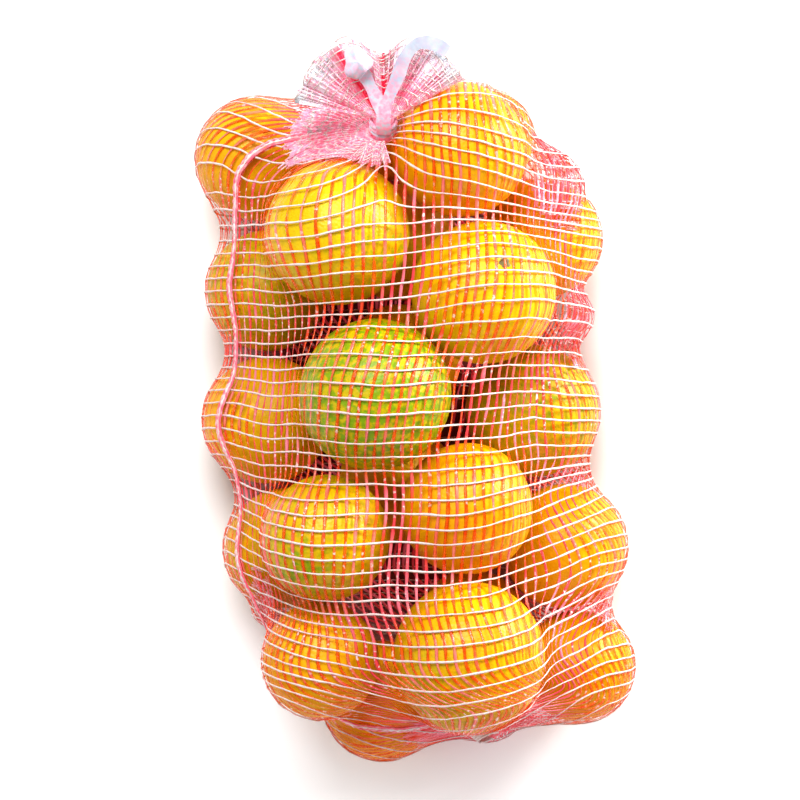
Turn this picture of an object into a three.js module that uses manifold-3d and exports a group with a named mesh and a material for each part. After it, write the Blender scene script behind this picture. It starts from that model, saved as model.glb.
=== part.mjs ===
// A net of oranges: a tubular mesh bag drawn tight round oranges in two layers and gathered at its mouth.
// It lies on its back on the floor, millimetres, +Z up, the mouth end towards +Y.
// The bag and what fills it are one solid, out to where the stretched net runs.
import * as THREE from "three";
import Module from "manifold-3d";

// Driving sizes
const NET_THICKNESS = 0.8;
const NECK_RADIUS = 5.5;
const NECK_LENGTH = 11;
const KNOT_SWELLING = 1.35;
const KNOT_LENGTH = 4;
const SEAM_HEIGHT = 1.8;
const FRILL_THICKNESS = 11;
const FRILL_HEM_THICKNESS = 10;
const FRILL_PLEATS = 5.5;
const FRILL_PLEAT_HEIGHT = 5;
const TAPE_WIDTH = 6.5;
const TAPE_THICKNESS = 1.6;
const TAPE_GAP = 0.5;
const FLOOR_CENTRE = new THREE.Vector3(-0.51, 8.01, 0);

// Oranges by where each one's middle lies and its radius: the lower layer stands on the floor
const LOWER_ORANGES = [
  { x: -87, y: 133, radius: 34.5 },
  { x: -82, y: 60, radius: 34 },
  { x: -82, y: -12, radius: 35.5 },
  { x: -72, y: -83, radius: 34 },
  { x: -18, y: -168, radius: 33 },
  { x: 33, y: -125, radius: 30.5 },
  { x: -23, y: 151, radius: 31 },
  { x: -8, y: 87, radius: 33 },
  { x: -7, y: 20, radius: 33 },
  { x: -9, y: -47, radius: 33.5 },
  { x: 38, y: 144, radius: 29 },
  { x: 70, y: 89, radius: 34 },
  { x: 65, y: -7, radius: 37.5 },
  { x: 83, y: -82, radius: 35 },
  { x: 91, y: -149, radius: 31.5 },
];
// The upper layer is let down on to the lower one, in this order
const UPPER_ORANGES = [
  { x: 23, y: 131, radius: 36.5 },
  { x: -41, y: 87, radius: 38.5 },
  { x: 36, y: 56, radius: 38.5 },
  { x: -21, y: 2, radius: 40.5 },
  { x: -47, y: -73, radius: 34 },
  { x: 27, y: -58, radius: 35.5 },
  { x: 28, y: -135, radius: 40 },
  { x: -50, y: -139, radius: 31.5 },
];
// Folds of slack net that stand off the oranges, as balls
const SLACK = [
  { x: 69, y: 113, z: 58, radius: 23 },
  { x: 40, y: -169, z: 24, radius: 23 },
  { x: 83, y: 45, z: 58, radius: 14 },
  { x: -79, y: -115, z: 40, radius: 11 },
];

// The bag's middle line, the half width and half height that its columns are spread by, and its gathered ends
const SPINE_FOOT = new THREE.Vector3(14, -128, 58);
const SPINE_HEAD = new THREE.Vector3(-19, 105, 62);
const HALF_WIDTH = 118;
const HALF_HEIGHT = 66;
const FOOT_WAY = new THREE.Vector3(24, -51, 22).normalize();
const NECK_WAY = new THREE.Vector3(2, 33, 41).normalize();
const NECK_DISTANCE = 52.5;
const KNOT_HALF_ANGLE = 0.065;

// How finely the net is divided, and how hard it pulls round the bag against along it
const COLUMNS = 84;
const FOOT_ROWS = 12;
const MIDDLE_ROWS = 25;
const HEAD_ROWS = 13;
const FRILL_ROWS = 7;
const ROUND_PULL = 5.5;
const LONG_PULL = 1;
const STRETCH_STEPS = 220;
const OVERSHOOT = 1.6;
const SEAM_COLUMN_AT_FOOT = 43;
const SEAM_COLUMN_AT_HEAD = 40;

// The lowest place where an orange of this radius clears the floor and those already laid
function restingHeight(orange, laid) {
  const heights = laid.map((other) => {
    const reach = orange.radius + other.radius;
    const apart = Math.hypot(orange.x - other.x, orange.y - other.y);
    return apart < reach ? other.z + Math.sqrt(reach * reach - apart * apart) : 0;
  });
  return Math.max(orange.radius - 1, ...heights);
}

function layOranges() {
  const laid = [];
  for (const orange of [...LOWER_ORANGES, ...UPPER_ORANGES]) {
    laid.push({ ...orange, z: restingHeight(orange, laid) });
  }
  return laid;
}

// The direction across the bag for a column: 0 is to the right, a quarter turn is up
function acrossBag(column) {
  const turn = (2 * Math.PI * column) / COLUMNS;
  return new THREE.Vector3(HALF_WIDTH * Math.cos(turn), 0, HALF_HEIGHT * Math.sin(turn)).normalize();
}

// A direction that fans from across the bag towards one end: share runs from 0 at the side to 1 at the gather
function fanned(across, share, straight, way, halfAngle) {
  const lift = share * (Math.PI / 2 - halfAngle);
  const out = across.multiplyScalar(Math.cos(lift)).addScaledVector(straight, Math.sin(lift));
  const whole = new THREE.Quaternion().setFromUnitVectors(straight, way);
  return out.applyQuaternion(new THREE.Quaternion().slerp(whole, share));
}

// The line from the spine that each net point slides on. Rows fan round both ends of the spine.
function slideLine(row, column) {
  const across = acrossBag(column);
  const middle = row - FOOT_ROWS;
  if (middle < 0) {
    const straight = new THREE.Vector3(0, -1, 0);
    return { from: SPINE_FOOT, way: fanned(across, -middle / FOOT_ROWS, straight, FOOT_WAY, KNOT_HALF_ANGLE) };
  }
  if (middle <= MIDDLE_ROWS) {
    return { from: SPINE_FOOT.clone().lerp(SPINE_HEAD, middle / MIDDLE_ROWS), way: across };
  }
  const share = (middle - MIDDLE_ROWS) / HEAD_ROWS;
  const straight = new THREE.Vector3(0, 1, 0);
  const halfAngle = NECK_RADIUS / NECK_DISTANCE;
  return { from: SPINE_HEAD, way: fanned(across, share, straight, NECK_WAY, halfAngle) };
}

// How far along a slide line the outermost ball lies
function outerReach({ from, way }, balls) {
  let reach = 0;
  for (const ball of balls) {
    const to = new THREE.Vector3(ball.x, ball.y, ball.z).sub(from);
    const along = to.dot(way);
    const skin = ball.radius + NET_THICKNESS;
    const inside = along * along - to.lengthSq() + skin * skin;
    if (inside > 0) reach = Math.max(reach, along + Math.sqrt(inside));
  }
  return reach;
}

// Between the oranges the skin hangs in, the more the further it is off them: d = S (1 - exp(-gap / S)).
// It hangs in most on top, less at the sides, and not under the bag or near its two gathers.
const SINK = 12;
const SINK_AT_SIDES = 0.45;
const SINK_STEPS = 3;

function sunkBetweenOranges(reach, least, lines) {
  const rows = reach.length / COLUMNS;
  let sunk = reach.map((own, k) => {
    const row = Math.floor(k / COLUMNS);
    const inBody = THREE.MathUtils.clamp(Math.min(row, rows - 1 - row) / 6, 0, 1);
    const onTop = THREE.MathUtils.clamp(SINK_AT_SIDES + 1.4 * lines[k].way.z, 0, 1);
    return own - inBody * onTop * SINK * (1 - Math.exp(-(own - least[k]) / SINK));
  });
  for (let step = 0; step < SINK_STEPS; step++) {
    sunk = sunk.map((own, k) => {
      const row = Math.floor(k / COLUMNS);
      if (row === 0 || row === rows - 1) return own;
      const column = k % COLUMNS;
      const before = row * COLUMNS + ((column + COLUMNS - 1) % COLUMNS);
      const after = row * COLUMNS + ((column + 1) % COLUMNS);
      const mean = (sunk[before] + sunk[after] + sunk[k - COLUMNS] + sunk[k + COLUMNS]) / 4;
      return Math.min(reach[k], Math.max(least[k], (own + mean) / 2));
    });
  }
  return sunk;
}

// Stretches the net over the balls: every point goes to the mean of its neighbours, but never into a ball or
// the floor. Returns the rows of points from the foot of the bag to its neck.
function stretchNet(balls) {
  const rows = FOOT_ROWS + MIDDLE_ROWS + HEAD_ROWS + 1;
  const at = (row, column) => row * COLUMNS + ((column + COLUMNS) % COLUMNS);
  const lines = [];
  for (let row = 0; row < rows; row++) {
    for (let column = 0; column < COLUMNS; column++) lines.push(slideLine(row, column));
  }
  const most = lines.map(({ from, way }) => (way.z < 0 ? -from.z / way.z : Infinity));
  const least = lines.map((line, k) => Math.min(most[k], outerReach(line, balls)));
  const reach = least.map((own, k) => Math.min(most[k], Math.max(own, 40)));
  for (let column = 0; column < COLUMNS; column++) reach[at(rows - 1, column)] = NECK_DISTANCE;
  const points = lines.map(({ from, way }, k) => from.clone().addScaledVector(way, reach[k]));
  const mean = new THREE.Vector3();
  for (let step = 0; step < STRETCH_STEPS; step++) {
    for (let k = 0; k < (rows - 1) * COLUMNS; k++) {
      const row = Math.floor(k / COLUMNS);
      const column = k % COLUMNS;
      mean.copy(points[at(row, column - 1)]).add(points[at(row, column + 1)]).multiplyScalar(ROUND_PULL);
      mean.addScaledVector(points[at(Math.max(row - 1, 0), column)], LONG_PULL);
      mean.addScaledVector(points[at(row + 1, column)], LONG_PULL);
      mean.divideScalar(2 * (ROUND_PULL + LONG_PULL)).sub(lines[k].from);
      const wanted = reach[k] + OVERSHOOT * (mean.dot(lines[k].way) - reach[k]);
      reach[k] = Math.min(most[k], Math.max(least[k], wanted));
      points[k].copy(lines[k].from).addScaledVector(lines[k].way, reach[k]);
    }
  }
  const sunk = sunkBetweenOranges(reach, least, lines);
  for (let k = 0; k < lines.length; k++) points[k].copy(lines[k].from).addScaledVector(lines[k].way, sunk[k]);
  return Array.from({ length: rows }, (_, row) => {
    const seam = THREE.MathUtils.lerp(SEAM_COLUMN_AT_FOOT, SEAM_COLUMN_AT_HEAD, row / (rows - 1));
    return Array.from({ length: COLUMNS }, (_, column) => {
      const k = at(row, column);
      const ridge = row < rows - 2 ? SEAM_HEIGHT * Math.exp(-2 * (column - seam) ** 2) : 0;
      return points[k].clone().addScaledVector(lines[k].way, ridge);
    });
  });
}

// The net's foot is drawn together in a small knot beyond its first row
function knotRings(firstRow) {
  const middle = middleOf(firstRow);
  const steps = [
    { out: 1, wide: 0.5 },
    { out: 0.85, wide: 1 },
    { out: 0.45, wide: KNOT_SWELLING },
  ];
  return steps.map(({ out, wide }) => firstRow.map((point) =>
    point.clone().sub(middle).multiplyScalar(wide).add(middle).addScaledVector(FOOT_WAY, out * KNOT_LENGTH)));
}

function middleOf(points) {
  return points.reduce((sum, point) => sum.add(point), new THREE.Vector3()).divideScalar(points.length);
}

// The neck's axes: to its right, and up across it. NECK_WAY runs along it out of the bag.
function neckAxes() {
  const up = new THREE.Vector3(0, 0, 1).addScaledVector(NECK_WAY, -NECK_WAY.z).normalize();
  return { right: new THREE.Vector3().crossVectors(NECK_WAY, up), up };
}

function neckPoint(distance) {
  return SPINE_HEAD.clone().addScaledVector(NECK_WAY, NECK_DISTANCE + distance);
}

function neckRing(distance) {
  const { right, up } = neckAxes();
  const middle = neckPoint(distance);
  return Array.from({ length: COLUMNS }, (_, column) => {
    const turn = (2 * Math.PI * column) / COLUMNS;
    const out = right.clone().multiplyScalar(Math.cos(turn)).addScaledVector(up, Math.sin(turn));
    return middle.clone().addScaledVector(out, NECK_RADIUS);
  });
}

// The gathered mouth above the tie spreads like a fan, in a plane that leans up from the floor
const FAN_LEAN = THREE.MathUtils.degToRad(12);
const FAN_MIDDLE = THREE.MathUtils.degToRad(98);
const FAN_HALF_ANGLE = THREE.MathUtils.degToRad(72);
const FAN_LENGTH = 45;
const FAN_DIP = 13;
const FAN_DIP_ANGLE = THREE.MathUtils.degToRad(91);
const FAN_DIP_WIDTH = THREE.MathUtils.degToRad(15);

function fanLength(angle) {
  return FAN_LENGTH - FAN_DIP * Math.exp(-(((angle - FAN_DIP_ANGLE) / FAN_DIP_WIDTH) ** 2));
}

function fanAxes() {
  const ahead = new THREE.Vector3(0, Math.cos(FAN_LEAN), Math.sin(FAN_LEAN));
  return { right: new THREE.Vector3(1, 0, 0), ahead, normal: new THREE.Vector3(0, -ahead.z, ahead.y) };
}

// A point of the fan: share runs from 0 at the neck to 1 at the hem, side from -1 below to 1 above
function fanPoint(angle, share, side, sideways) {
  const { right, ahead, normal } = fanAxes();
  const out = right.clone().multiplyScalar(Math.cos(angle)).addScaledVector(ahead, Math.sin(angle));
  const halfThickness = THREE.MathUtils.lerp(FRILL_THICKNESS, FRILL_HEM_THICKNESS, share) / 2;
  const turnOfPleat = (Math.PI * FRILL_PLEATS * (angle - FAN_MIDDLE)) / FAN_HALF_ANGLE;
  const pleat = FRILL_PLEAT_HEIGHT * share * Math.cos(turnOfPleat);
  return neckPoint(NECK_LENGTH)
    .addScaledVector(right, NECK_RADIUS * sideways * (1 - share))
    .addScaledVector(out, fanLength(angle) * share)
    .addScaledVector(normal, halfThickness * side + pleat);
}

function frillRing(share) {
  return Array.from({ length: COLUMNS }, (_, column) => {
    const turn = (2 * Math.PI * column) / COLUMNS;
    const angle = FAN_MIDDLE - FAN_HALF_ANGLE * Math.cos(turn);
    return fanPoint(angle, share, Math.sin(turn), Math.cos(turn));
  });
}

// A closed body from rings of equally many points: the first ring closes on its middle, the last one across
function bodyFromRings(rings) {
  const count = rings[0].length;
  const positions = rings.flat().flatMap((p) => [p.x, p.y, p.z]);
  const faces = [];
  for (let row = 0; row + 1 < rings.length; row++) {
    for (let column = 0; column < count; column++) {
      const here = row * count + column;
      const beside = row * count + ((column + 1) % count);
      faces.push(here, beside + count, beside, here, here + count, beside + count);
    }
  }
  const foot = middleOf(rings[0]);
  const footIndex = positions.length / 3;
  positions.push(foot.x, foot.y, foot.z);
  for (let column = 0; column < count; column++) faces.push(footIndex, column, (column + 1) % count);
  const last = (rings.length - 1) * count;
  for (let column = 0; column < count / 2; column++) {
    const above = last + column;
    const below = last + ((count - column) % count);
    if (column > 0) faces.push(above, below, above + 1);
    if (column + 1 < count / 2) faces.push(above + 1, below, last + count - column - 1);
  }
  return geometryOf(positions, faces);
}

function geometryOf(positions, faces) {
  const geometry = new THREE.BufferGeometry();
  geometry.setAttribute("position", new THREE.Float32BufferAttribute(positions, 3));
  geometry.setIndex(faces);
  geometry.computeVertexNormals();
  return geometry;
}

function netGeometry(oranges) {
  const net = stretchNet([...oranges, ...SLACK]);
  const rings = [...knotRings(net[0]), ...net, neckRing(NECK_LENGTH / 2), neckRing(NECK_LENGTH)];
  for (let row = 1; row <= FRILL_ROWS; row++) rings.push(frillRing(row / FRILL_ROWS));
  return bodyFromRings(rings);
}

// The tape is wound three times round the neck: one ring with three swellings, square to the neck
const WINDING_HEIGHT = 1.5;
const WINDING_LENGTH = 7;
const WINDING_START = 2.8;
const WINDING_SIDES = 36;

function windingRings() {
  const { right, up } = neckAxes();
  const inner = NECK_RADIUS + TAPE_GAP;
  const profile = [{ out: inner, along: WINDING_LENGTH }, { out: inner, along: 0 }];
  for (let step = 0; step <= 12; step++) {
    const swelling = 0.55 + 0.45 * Math.abs(Math.sin((3 * Math.PI * step) / 12));
    profile.push({ out: inner + WINDING_HEIGHT * swelling, along: (WINDING_LENGTH * step) / 12 });
  }
  return Array.from({ length: WINDING_SIDES }, (_, side) => {
    const turn = (2 * Math.PI * side) / WINDING_SIDES;
    const way = right.clone().multiplyScalar(Math.cos(turn)).addScaledVector(up, Math.sin(turn));
    return profile.map(({ out, along }) => neckPoint(WINDING_START + along).addScaledVector(way, out));
  });
}

// Where the tape's two ends run on the fan: degrees round it, distance from its foot and height over its middle
const TAPE_END_RIGHT = [
  { angle: 88, out: -8, height: 2.9 },
  { angle: 87, out: -5, height: 5.6 },
  { angle: 84, out: -1, height: 7.2 },
  { angle: 78, out: 8, height: 7.9 },
  { angle: 71, out: 22, height: 9.1 },
  { angle: 70, out: 34, height: 10.3 },
  { angle: 65, out: 42, height: 11.1 },
  { angle: 55, out: 46, height: 11.4 },
  { angle: 46, out: 47, height: 11.4 },
];
const TAPE_END_LEFT = [
  { angle: 92, out: -8, height: 2.9 },
  { angle: 93, out: -5, height: 5.6 },
  { angle: 98, out: -1, height: 7.2 },
  { angle: 108, out: 9, height: 8.1 },
  { angle: 113, out: 22, height: 9.2 },
  { angle: 115, out: 29, height: 10.4 },
];
const TAPE_STEPS = 26;
const TAPE_WAVE = 0.1;
const TAPE_KNOT_ANGLE = 115;
const TAPE_KNOT_OUT = 31.5;
const TAPE_KNOT_HEIGHT = 14;
const TAPE_KNOT_SIZE = new THREE.Vector3(7, 8, 4.5);
const TAPE_KNOT_LOBES = 0.13;
const TAPE_KNOT_CREASES = 0.07;
const TAPE_KNOT_RINGS = 16;
const TAPE_KNOT_SIDES = 32;

function onFan({ angle, out, height }) {
  const { right, ahead, normal } = fanAxes();
  const turn = THREE.MathUtils.degToRad(angle);
  return neckPoint(NECK_LENGTH)
    .addScaledVector(right, out * Math.cos(turn))
    .addScaledVector(ahead, out * Math.sin(turn))
    .addScaledVector(normal, height);
}

// A flat tape's rings of four corners along a smooth curve through the stations
function tapeRings(stations) {
  const curve = new THREE.CatmullRomCurve3(stations.map(onFan), false, "centripetal");
  const { normal } = fanAxes();
  return Array.from({ length: TAPE_STEPS + 1 }, (_, step) => {
    const middle = curve.getPointAt(step / TAPE_STEPS);
    const forward = curve.getTangentAt(step / TAPE_STEPS);
    const across = new THREE.Vector3().crossVectors(forward, normal).normalize();
    const upright = new THREE.Vector3().crossVectors(across, forward).normalize();
    const width = TAPE_WIDTH * (1 + TAPE_WAVE * Math.sin((5 * Math.PI * step) / TAPE_STEPS));
    return [[1, 1], [1, -1], [-1, -1], [-1, 1]].map(([side, top]) => middle.clone()
      .addScaledVector(across, (side * width) / 2)
      .addScaledVector(upright, (top * TAPE_THICKNESS) / 2));
  });
}

const { Manifold, Mesh } = await startManifold();

async function startManifold() {
  const wasm = await Module();
  wasm.setup();
  return wasm;
}

function solidFrom(positions, faces) {
  const mesh = new Mesh({
    numProp: 3,
    vertProperties: new Float32Array(positions),
    triVerts: new Uint32Array(faces),
  });
  const solid = new Manifold(mesh);
  if (solid.volume() > 0) return solid;
  const turned = [];
  for (let k = 0; k < faces.length; k += 3) turned.push(faces[k], faces[k + 2], faces[k + 1]);
  return solidFrom(positions, turned);
}

// Rings joined in a tube: either closed on themselves, or with both ends capped flat
function tube(rings, closed) {
  const count = rings[0].length;
  const faces = [];
  const last = closed ? rings.length : rings.length - 1;
  for (let ring = 0; ring < last; ring++) {
    const next = (ring + 1) % rings.length;
    for (let k = 0; k < count; k++) {
      const beside = (k + 1) % count;
      faces.push(ring * count + k, ring * count + beside, next * count + beside);
      faces.push(ring * count + k, next * count + beside, next * count + k);
    }
  }
  if (!closed) {
    const end = (rings.length - 1) * count;
    for (let k = 1; k + 1 < count; k++) faces.push(0, k + 1, k, end, end + k, end + k + 1);
  }
  return solidFrom(rings.flat().flatMap((p) => [p.x, p.y, p.z]), faces);
}

// The knot in the tape is crumpled, with lobes round it that wind as they rise, in rings from its underside up
function tapeKnotRings() {
  const middle = onFan({ angle: TAPE_KNOT_ANGLE, out: TAPE_KNOT_OUT, height: TAPE_KNOT_HEIGHT });
  return Array.from({ length: TAPE_KNOT_RINGS }, (_, ring) => {
    const rise = Math.PI * ((ring + 0.5) / TAPE_KNOT_RINGS - 0.5);
    return Array.from({ length: TAPE_KNOT_SIDES }, (_, side) => {
      const turn = (2 * Math.PI * side) / TAPE_KNOT_SIDES;
      const way = new THREE.Vector3(Math.cos(rise) * Math.cos(turn), Math.cos(rise) * Math.sin(turn), Math.sin(rise));
      const lobes = TAPE_KNOT_LOBES * Math.cos(3 * turn + 1.4 * rise) + TAPE_KNOT_CREASES * Math.cos(5 * turn - 3 * rise);
      return way.multiplyScalar(1 + Math.cos(rise) * lobes).multiply(TAPE_KNOT_SIZE).add(middle);
    });
  });
}

function tapeGeometry() {
  const tape = Manifold.union([
    tube(windingRings(), true),
    tube(tapeRings(TAPE_END_RIGHT), false),
    tube(tapeRings(TAPE_END_LEFT), false),
    tube(tapeKnotRings(), false),
  ]);
  const mesh = tape.getMesh();
  return geometryOf(Array.from(mesh.vertProperties), Array.from(mesh.triVerts));
}

function piece(name, geometry, material) {
  const mesh = new THREE.Mesh(geometry, material);
  mesh.name = name;
  mesh.position.copy(FLOOR_CENTRE);
  return mesh;
}

const netMaterial = new THREE.MeshStandardMaterial({ color: 0xf08a1e, roughness: 0.5, metalness: 0 });
const tapeMaterial = new THREE.MeshStandardMaterial({ color: 0xf4f1ee, roughness: 0.4, metalness: 0 });
const group = new THREE.Group();
group.add(piece("net_bag", netGeometry(layOranges()), netMaterial));
group.add(piece("closing_tape", tapeGeometry(), tapeMaterial));

export default group;
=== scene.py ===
"""A net of oranges that lies on its back: the fruit, the net woven round it, its tied mouth and its
knotted foot.

All shapes are worked out in millimetres on one stretched surface, the same one as the solid's, and put
into Blender in metres. Every strand of the net is carried along that surface.
"""

import math

import bpy
import numpy as np
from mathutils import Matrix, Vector


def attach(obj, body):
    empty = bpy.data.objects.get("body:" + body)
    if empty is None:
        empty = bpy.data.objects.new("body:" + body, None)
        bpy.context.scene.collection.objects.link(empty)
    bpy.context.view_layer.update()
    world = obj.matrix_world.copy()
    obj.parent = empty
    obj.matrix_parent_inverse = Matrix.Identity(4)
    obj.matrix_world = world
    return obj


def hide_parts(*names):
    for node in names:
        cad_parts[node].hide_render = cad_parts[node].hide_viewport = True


bl_info = {
    "name": "Net of oranges",
    "version": (1, 0, 0),
    "blender": (4, 5, 0),
    "location": "3D View > Sidebar > Net of oranges",
    "description": "Lays oranges in two layers, weaves a net tight round them and ties its mouth",
    "category": "Object",
}

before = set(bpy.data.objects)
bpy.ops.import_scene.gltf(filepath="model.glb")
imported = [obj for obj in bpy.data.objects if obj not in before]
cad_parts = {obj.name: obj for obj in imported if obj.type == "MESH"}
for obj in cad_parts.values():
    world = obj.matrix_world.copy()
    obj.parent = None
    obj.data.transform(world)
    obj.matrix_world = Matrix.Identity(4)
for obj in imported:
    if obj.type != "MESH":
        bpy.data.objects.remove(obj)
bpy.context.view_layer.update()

MM = 0.001
PLACE = np.array((-0.51, 8.01, 0.0))

# Oranges: middle x and y, radius, how golden rather than deep orange from 0 to 1, and how green
LOWER_ORANGES = (
    (-87, 133, 34.5, 0.42, 0.1),
    (-82, 60, 34.0, 0.60, 0.45),
    (-82, -12, 35.5, 0.60, 0.08),
    (-72, -83, 34.0, 0.60, 0.25),
    (-18, -168, 33.0, 0.35, 0.0),
    (33, -125, 30.5, 0.50, 0.1),
    (-23, 151, 31.0, 0.40, 0.0),
    (-8, 87, 33.0, 0.50, 0.1),
    (-7, 20, 33.0, 0.40, 0.0),
    (-9, -47, 33.5, 0.50, 0.1),
    (38, 144, 29.0, 0.40, 0.0),
    (70, 89, 34.0, 0.50, 0.05),
    (65, -7, 37.5, 0.50, 0.5),
    (83, -82, 35.0, 0.40, 0.0),
    (91, -149, 31.5, 0.40, 0.0),
)
UPPER_ORANGES = (
    (23, 131, 36.5, 0.45, 0.0),
    (-41, 87, 38.5, 0.78, 0.22),
    (36, 56, 38.5, 0.85, 0.07),
    (-21, 2, 40.5, 0.80, 0.85),
    (-47, -73, 34.0, 0.65, 0.38),
    (27, -58, 35.5, 0.42, 0.0),
    (28, -135, 40.0, 0.65, 0.18),
    (-50, -139, 31.5, 0.50, 0.05),
)
# Folds of slack net that stand off the oranges, as balls: x, y, z, radius
SLACK = ((69, 113, 58, 23), (40, -169, 24, 23), (83, 45, 58, 14), (-79, -115, 40, 11))
# Places where the net lies in folds without standing off much, the same way
FOLD_PLACES = ((-84, -108, 45, 22), (98, 22, 40, 18), (20, -180, 40, 26), (104, -112, 40, 14))
# Unripe patches on the shown side: x, y, how far they spread, how green
GREEN_PATCHES = (
    (-20, 4, 26, 0.65),
    (-16, 76, 17, 0.4),
    (-62, -88, 16, 0.45),
    (8, -152, 18, 0.45),
    (74, -2, 15, 0.15),
)
# How far a crossways thread on the shown side stands over its level at the middle, in mm: across at the
# places in DRAPE_X, and one row for each y in DRAPE_Y
DRAPE_X = (-105, -81, -57, -33, -9, 15, 40, 64, 88, 104)
DRAPE_Y = (-172, -151, -124, -97, -70, -44, -17, 10, 37, 63, 90, 117, 144, 170)
DRAPE = (
    (34, 26.0, 17.0, 8.0, 0, -2.0, 1.5, 7.0, 16.0, 23.0),
    (34, 26.0, 17.0, 7.5, 0, -0.6, 4.6, 12.9, 23.5, 29.9),
    (22.6, 13.8, 7.5, 2.6, 0, 0.1, 4.5, 11.0, 21.6, 28.5),
    (14.0, 6.7, 1.3, 0.1, 0, 1.1, 4.7, 10.2, 18.2, 25.5),
    (13.0, 4.7, 0.6, 0.1, 0, 0.2, 2.5, 9.9, 17.0, 21.8),
    (9.7, 2.6, 0.0, 0.2, 0, 0.6, 3.5, 8.3, 15.9, 21.5),
    (6.4, 2.2, 0.9, -0.6, 0, 1.9, 2.8, 4.7, 4.6, 3.4),
    (5.8, 3.3, 1.6, -0.1, 0, 1.8, 3.4, 3.1, 2.0, 1.4),
    (1.8, 0.0, 1.4, 1.1, 0, 0.5, 1.5, 2.4, 2.4, 1.8),
    (0.2, -1.9, -3.1, -1.6, 0, 3.5, 6.4, 7.6, 6.6, 4.2),
    (-1.0, -6.0, -6.3, -3.3, 0, 2.9, 5.9, 5.2, 2.8, 1.1),
    (2.0, -5.0, -5.4, -2.4, 0, 0.2, -2.2, -5.5, -8.8, -10.2),
    (13.0, 4.0, -4.0, -1.3, 0, 0.3, -4.4, -7.9, -8.5, -8.9),
    (18.0, 9.0, -0.6, -0.5, 0, 4.7, 3.2, -3.1, -9.6, -13.9),
)
DRAPE_ROUNDING = 8
# How far the lengthways tapes on the shown side have moved to the right, in mm, at each y
LEAN_Y = (-150, -90, -50, -15, 17, 43, 70, 120, 165)
LEAN = (-6.5, -10.5, -7.7, -8.2, -3.4, 3.3, 6.6, 7.6, 5.8)
TIE_PLACE = (-17.0, 150.0)
# The orange whose stem shows, and the way it points
STEM_UP = 17
STEM_WAY = (10.3, 14.7, 34.0)
STEM_DIMPLE = 2.6
FLAT_ENDS = 0.022

NET_THICKNESS = 0.8
MOST_SLACK = 12.0
# How tapes and threads lie against the net's surface, in mm, and how uneven their widths are
TAPE_SINK = 0.32
TAPE_HALF_HEIGHT = 0.15
THREAD_LIFT = 0.12
THREAD_WAVE = 0.1
UNEVEN = 0.22
FLOOR_CLEAR = 0.05
FRUIT_FLOOR_CLEAR = 0.3
SPINE_FOOT = np.array((14.0, -128.0, 58.0))
SPINE_HEAD = np.array((-19.0, 105.0, 62.0))
HALF_WIDTH = 118.0
HALF_HEIGHT = 66.0
FOOT_WAY = np.array((24.0, -51.0, 22.0)) / np.linalg.norm((24.0, -51.0, 22.0))
NECK_WAY = np.array((2.0, 33.0, 41.0)) / np.linalg.norm((2.0, 33.0, 41.0))
NECK_DISTANCE = 52.5
NECK_RADIUS = 5.5
NECK_LENGTH = 11.0
KNOT_HALF_ANGLE = 0.065
KNOT_LENGTH = 4.0
# The foot knot's rows: how far out, as a share of its length, and how wide
KNOT_ROWS = ((1.0, 0.35), (0.85, 0.7), (0.45, 0.8))
COLUMNS = 84
FOOT_ROWS = 12
MIDDLE_ROWS = 25
HEAD_ROWS = 13
ROUND_PULL = 5.5
LONG_PULL = 1.0
NET_SINK = 5.0
SINK_AT_SIDES = 0.45
SEAM_COLUMN_AT_FOOT = 43
SEAM_COLUMN_AT_HEAD = 40
FINER = 3
NECK_RINGS = 4
FAN_RINGS = 24
FAN_LEAN = math.radians(12)
FAN_MIDDLE = math.radians(98)
FAN_HALF_ANGLE = math.radians(72)
FAN_LENGTH = 45.0
FAN_DIP = 13.0
FAN_DIP_ANGLE = math.radians(91)
FAN_DIP_WIDTH = math.radians(15)
FAN_THICKNESS = 11.0
FAN_HEM_THICKNESS = 10.0
FAN_PLEATS = 5.5
FAN_PLEAT_HEIGHT = 5.0
# The frill's layers: thickness, how far the pleats are shifted, how deep they are, and length
FRILL_LAYERS = ((0.96, 0.0, 1.0, 1.0), (0.6, 1.4, 1.1, 0.97), (0.2, 3.1, 1.2, 1.03))
FRILL_LEVELS = (0.16, 0.27, 0.38, 0.49, 0.6, 0.71, 0.82, 0.91, 0.985)
FRILL_TAPES = 84
FRILL_CORE = 0.72
FRILL_THREADS = 9.5
# The frill's red folds: angle and width in degrees, then from and to as shares of its length
RED_FOLDS = ((124, 5.0, 0.08, 0.95), (90, 5.0, 0.25, 0.72), (90, 7.0, 0.86, 1.1))
# The gathered net: from and to in degrees round the neck, its reach at the right and how much more at the
# left, its tapes, its folds, and where its threads lie
GATHER_ARC = (86, 250)
GATHER_SHORT = 17
GATHER_LONGER = 34
GATHER_TAPES = 164
GATHER_ROWS = 40
GATHER_FOLDS = 44
GATHER_LEVELS = (0.2, 0.36, 0.52, 0.68, 0.84)
GATHER_THREADS = 8.5
# The side seam's cords: place across, half width, where the stitches start, redness
SEAM_CORDS = ((-1.5, 0.65, 0.0, 0.75), (0.0, 0.6, 2.2, 0.0), (1.3, 0.5, 4.1, 0.5))
STITCH = 3.6
# The thread round the foot knot
FOOT_TURNS = 5
FOOT_LENGTH = 6.2
FOOT_RADIUS = 7.4
FOOT_TAPER = 2.2
# The floor's rings: reach, how much it glows as painted light, how dark its painted shade is
FLOOR_RINGS = ((0.5, 0, 1), (0.75, 0, 0), (1.0, 0.7, 0), (1.6, 1, 0), (25.0, 1, 0))
FLOOR_HALF_SIZE = (150, 225)
FLOOR_SIDES = 48
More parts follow.
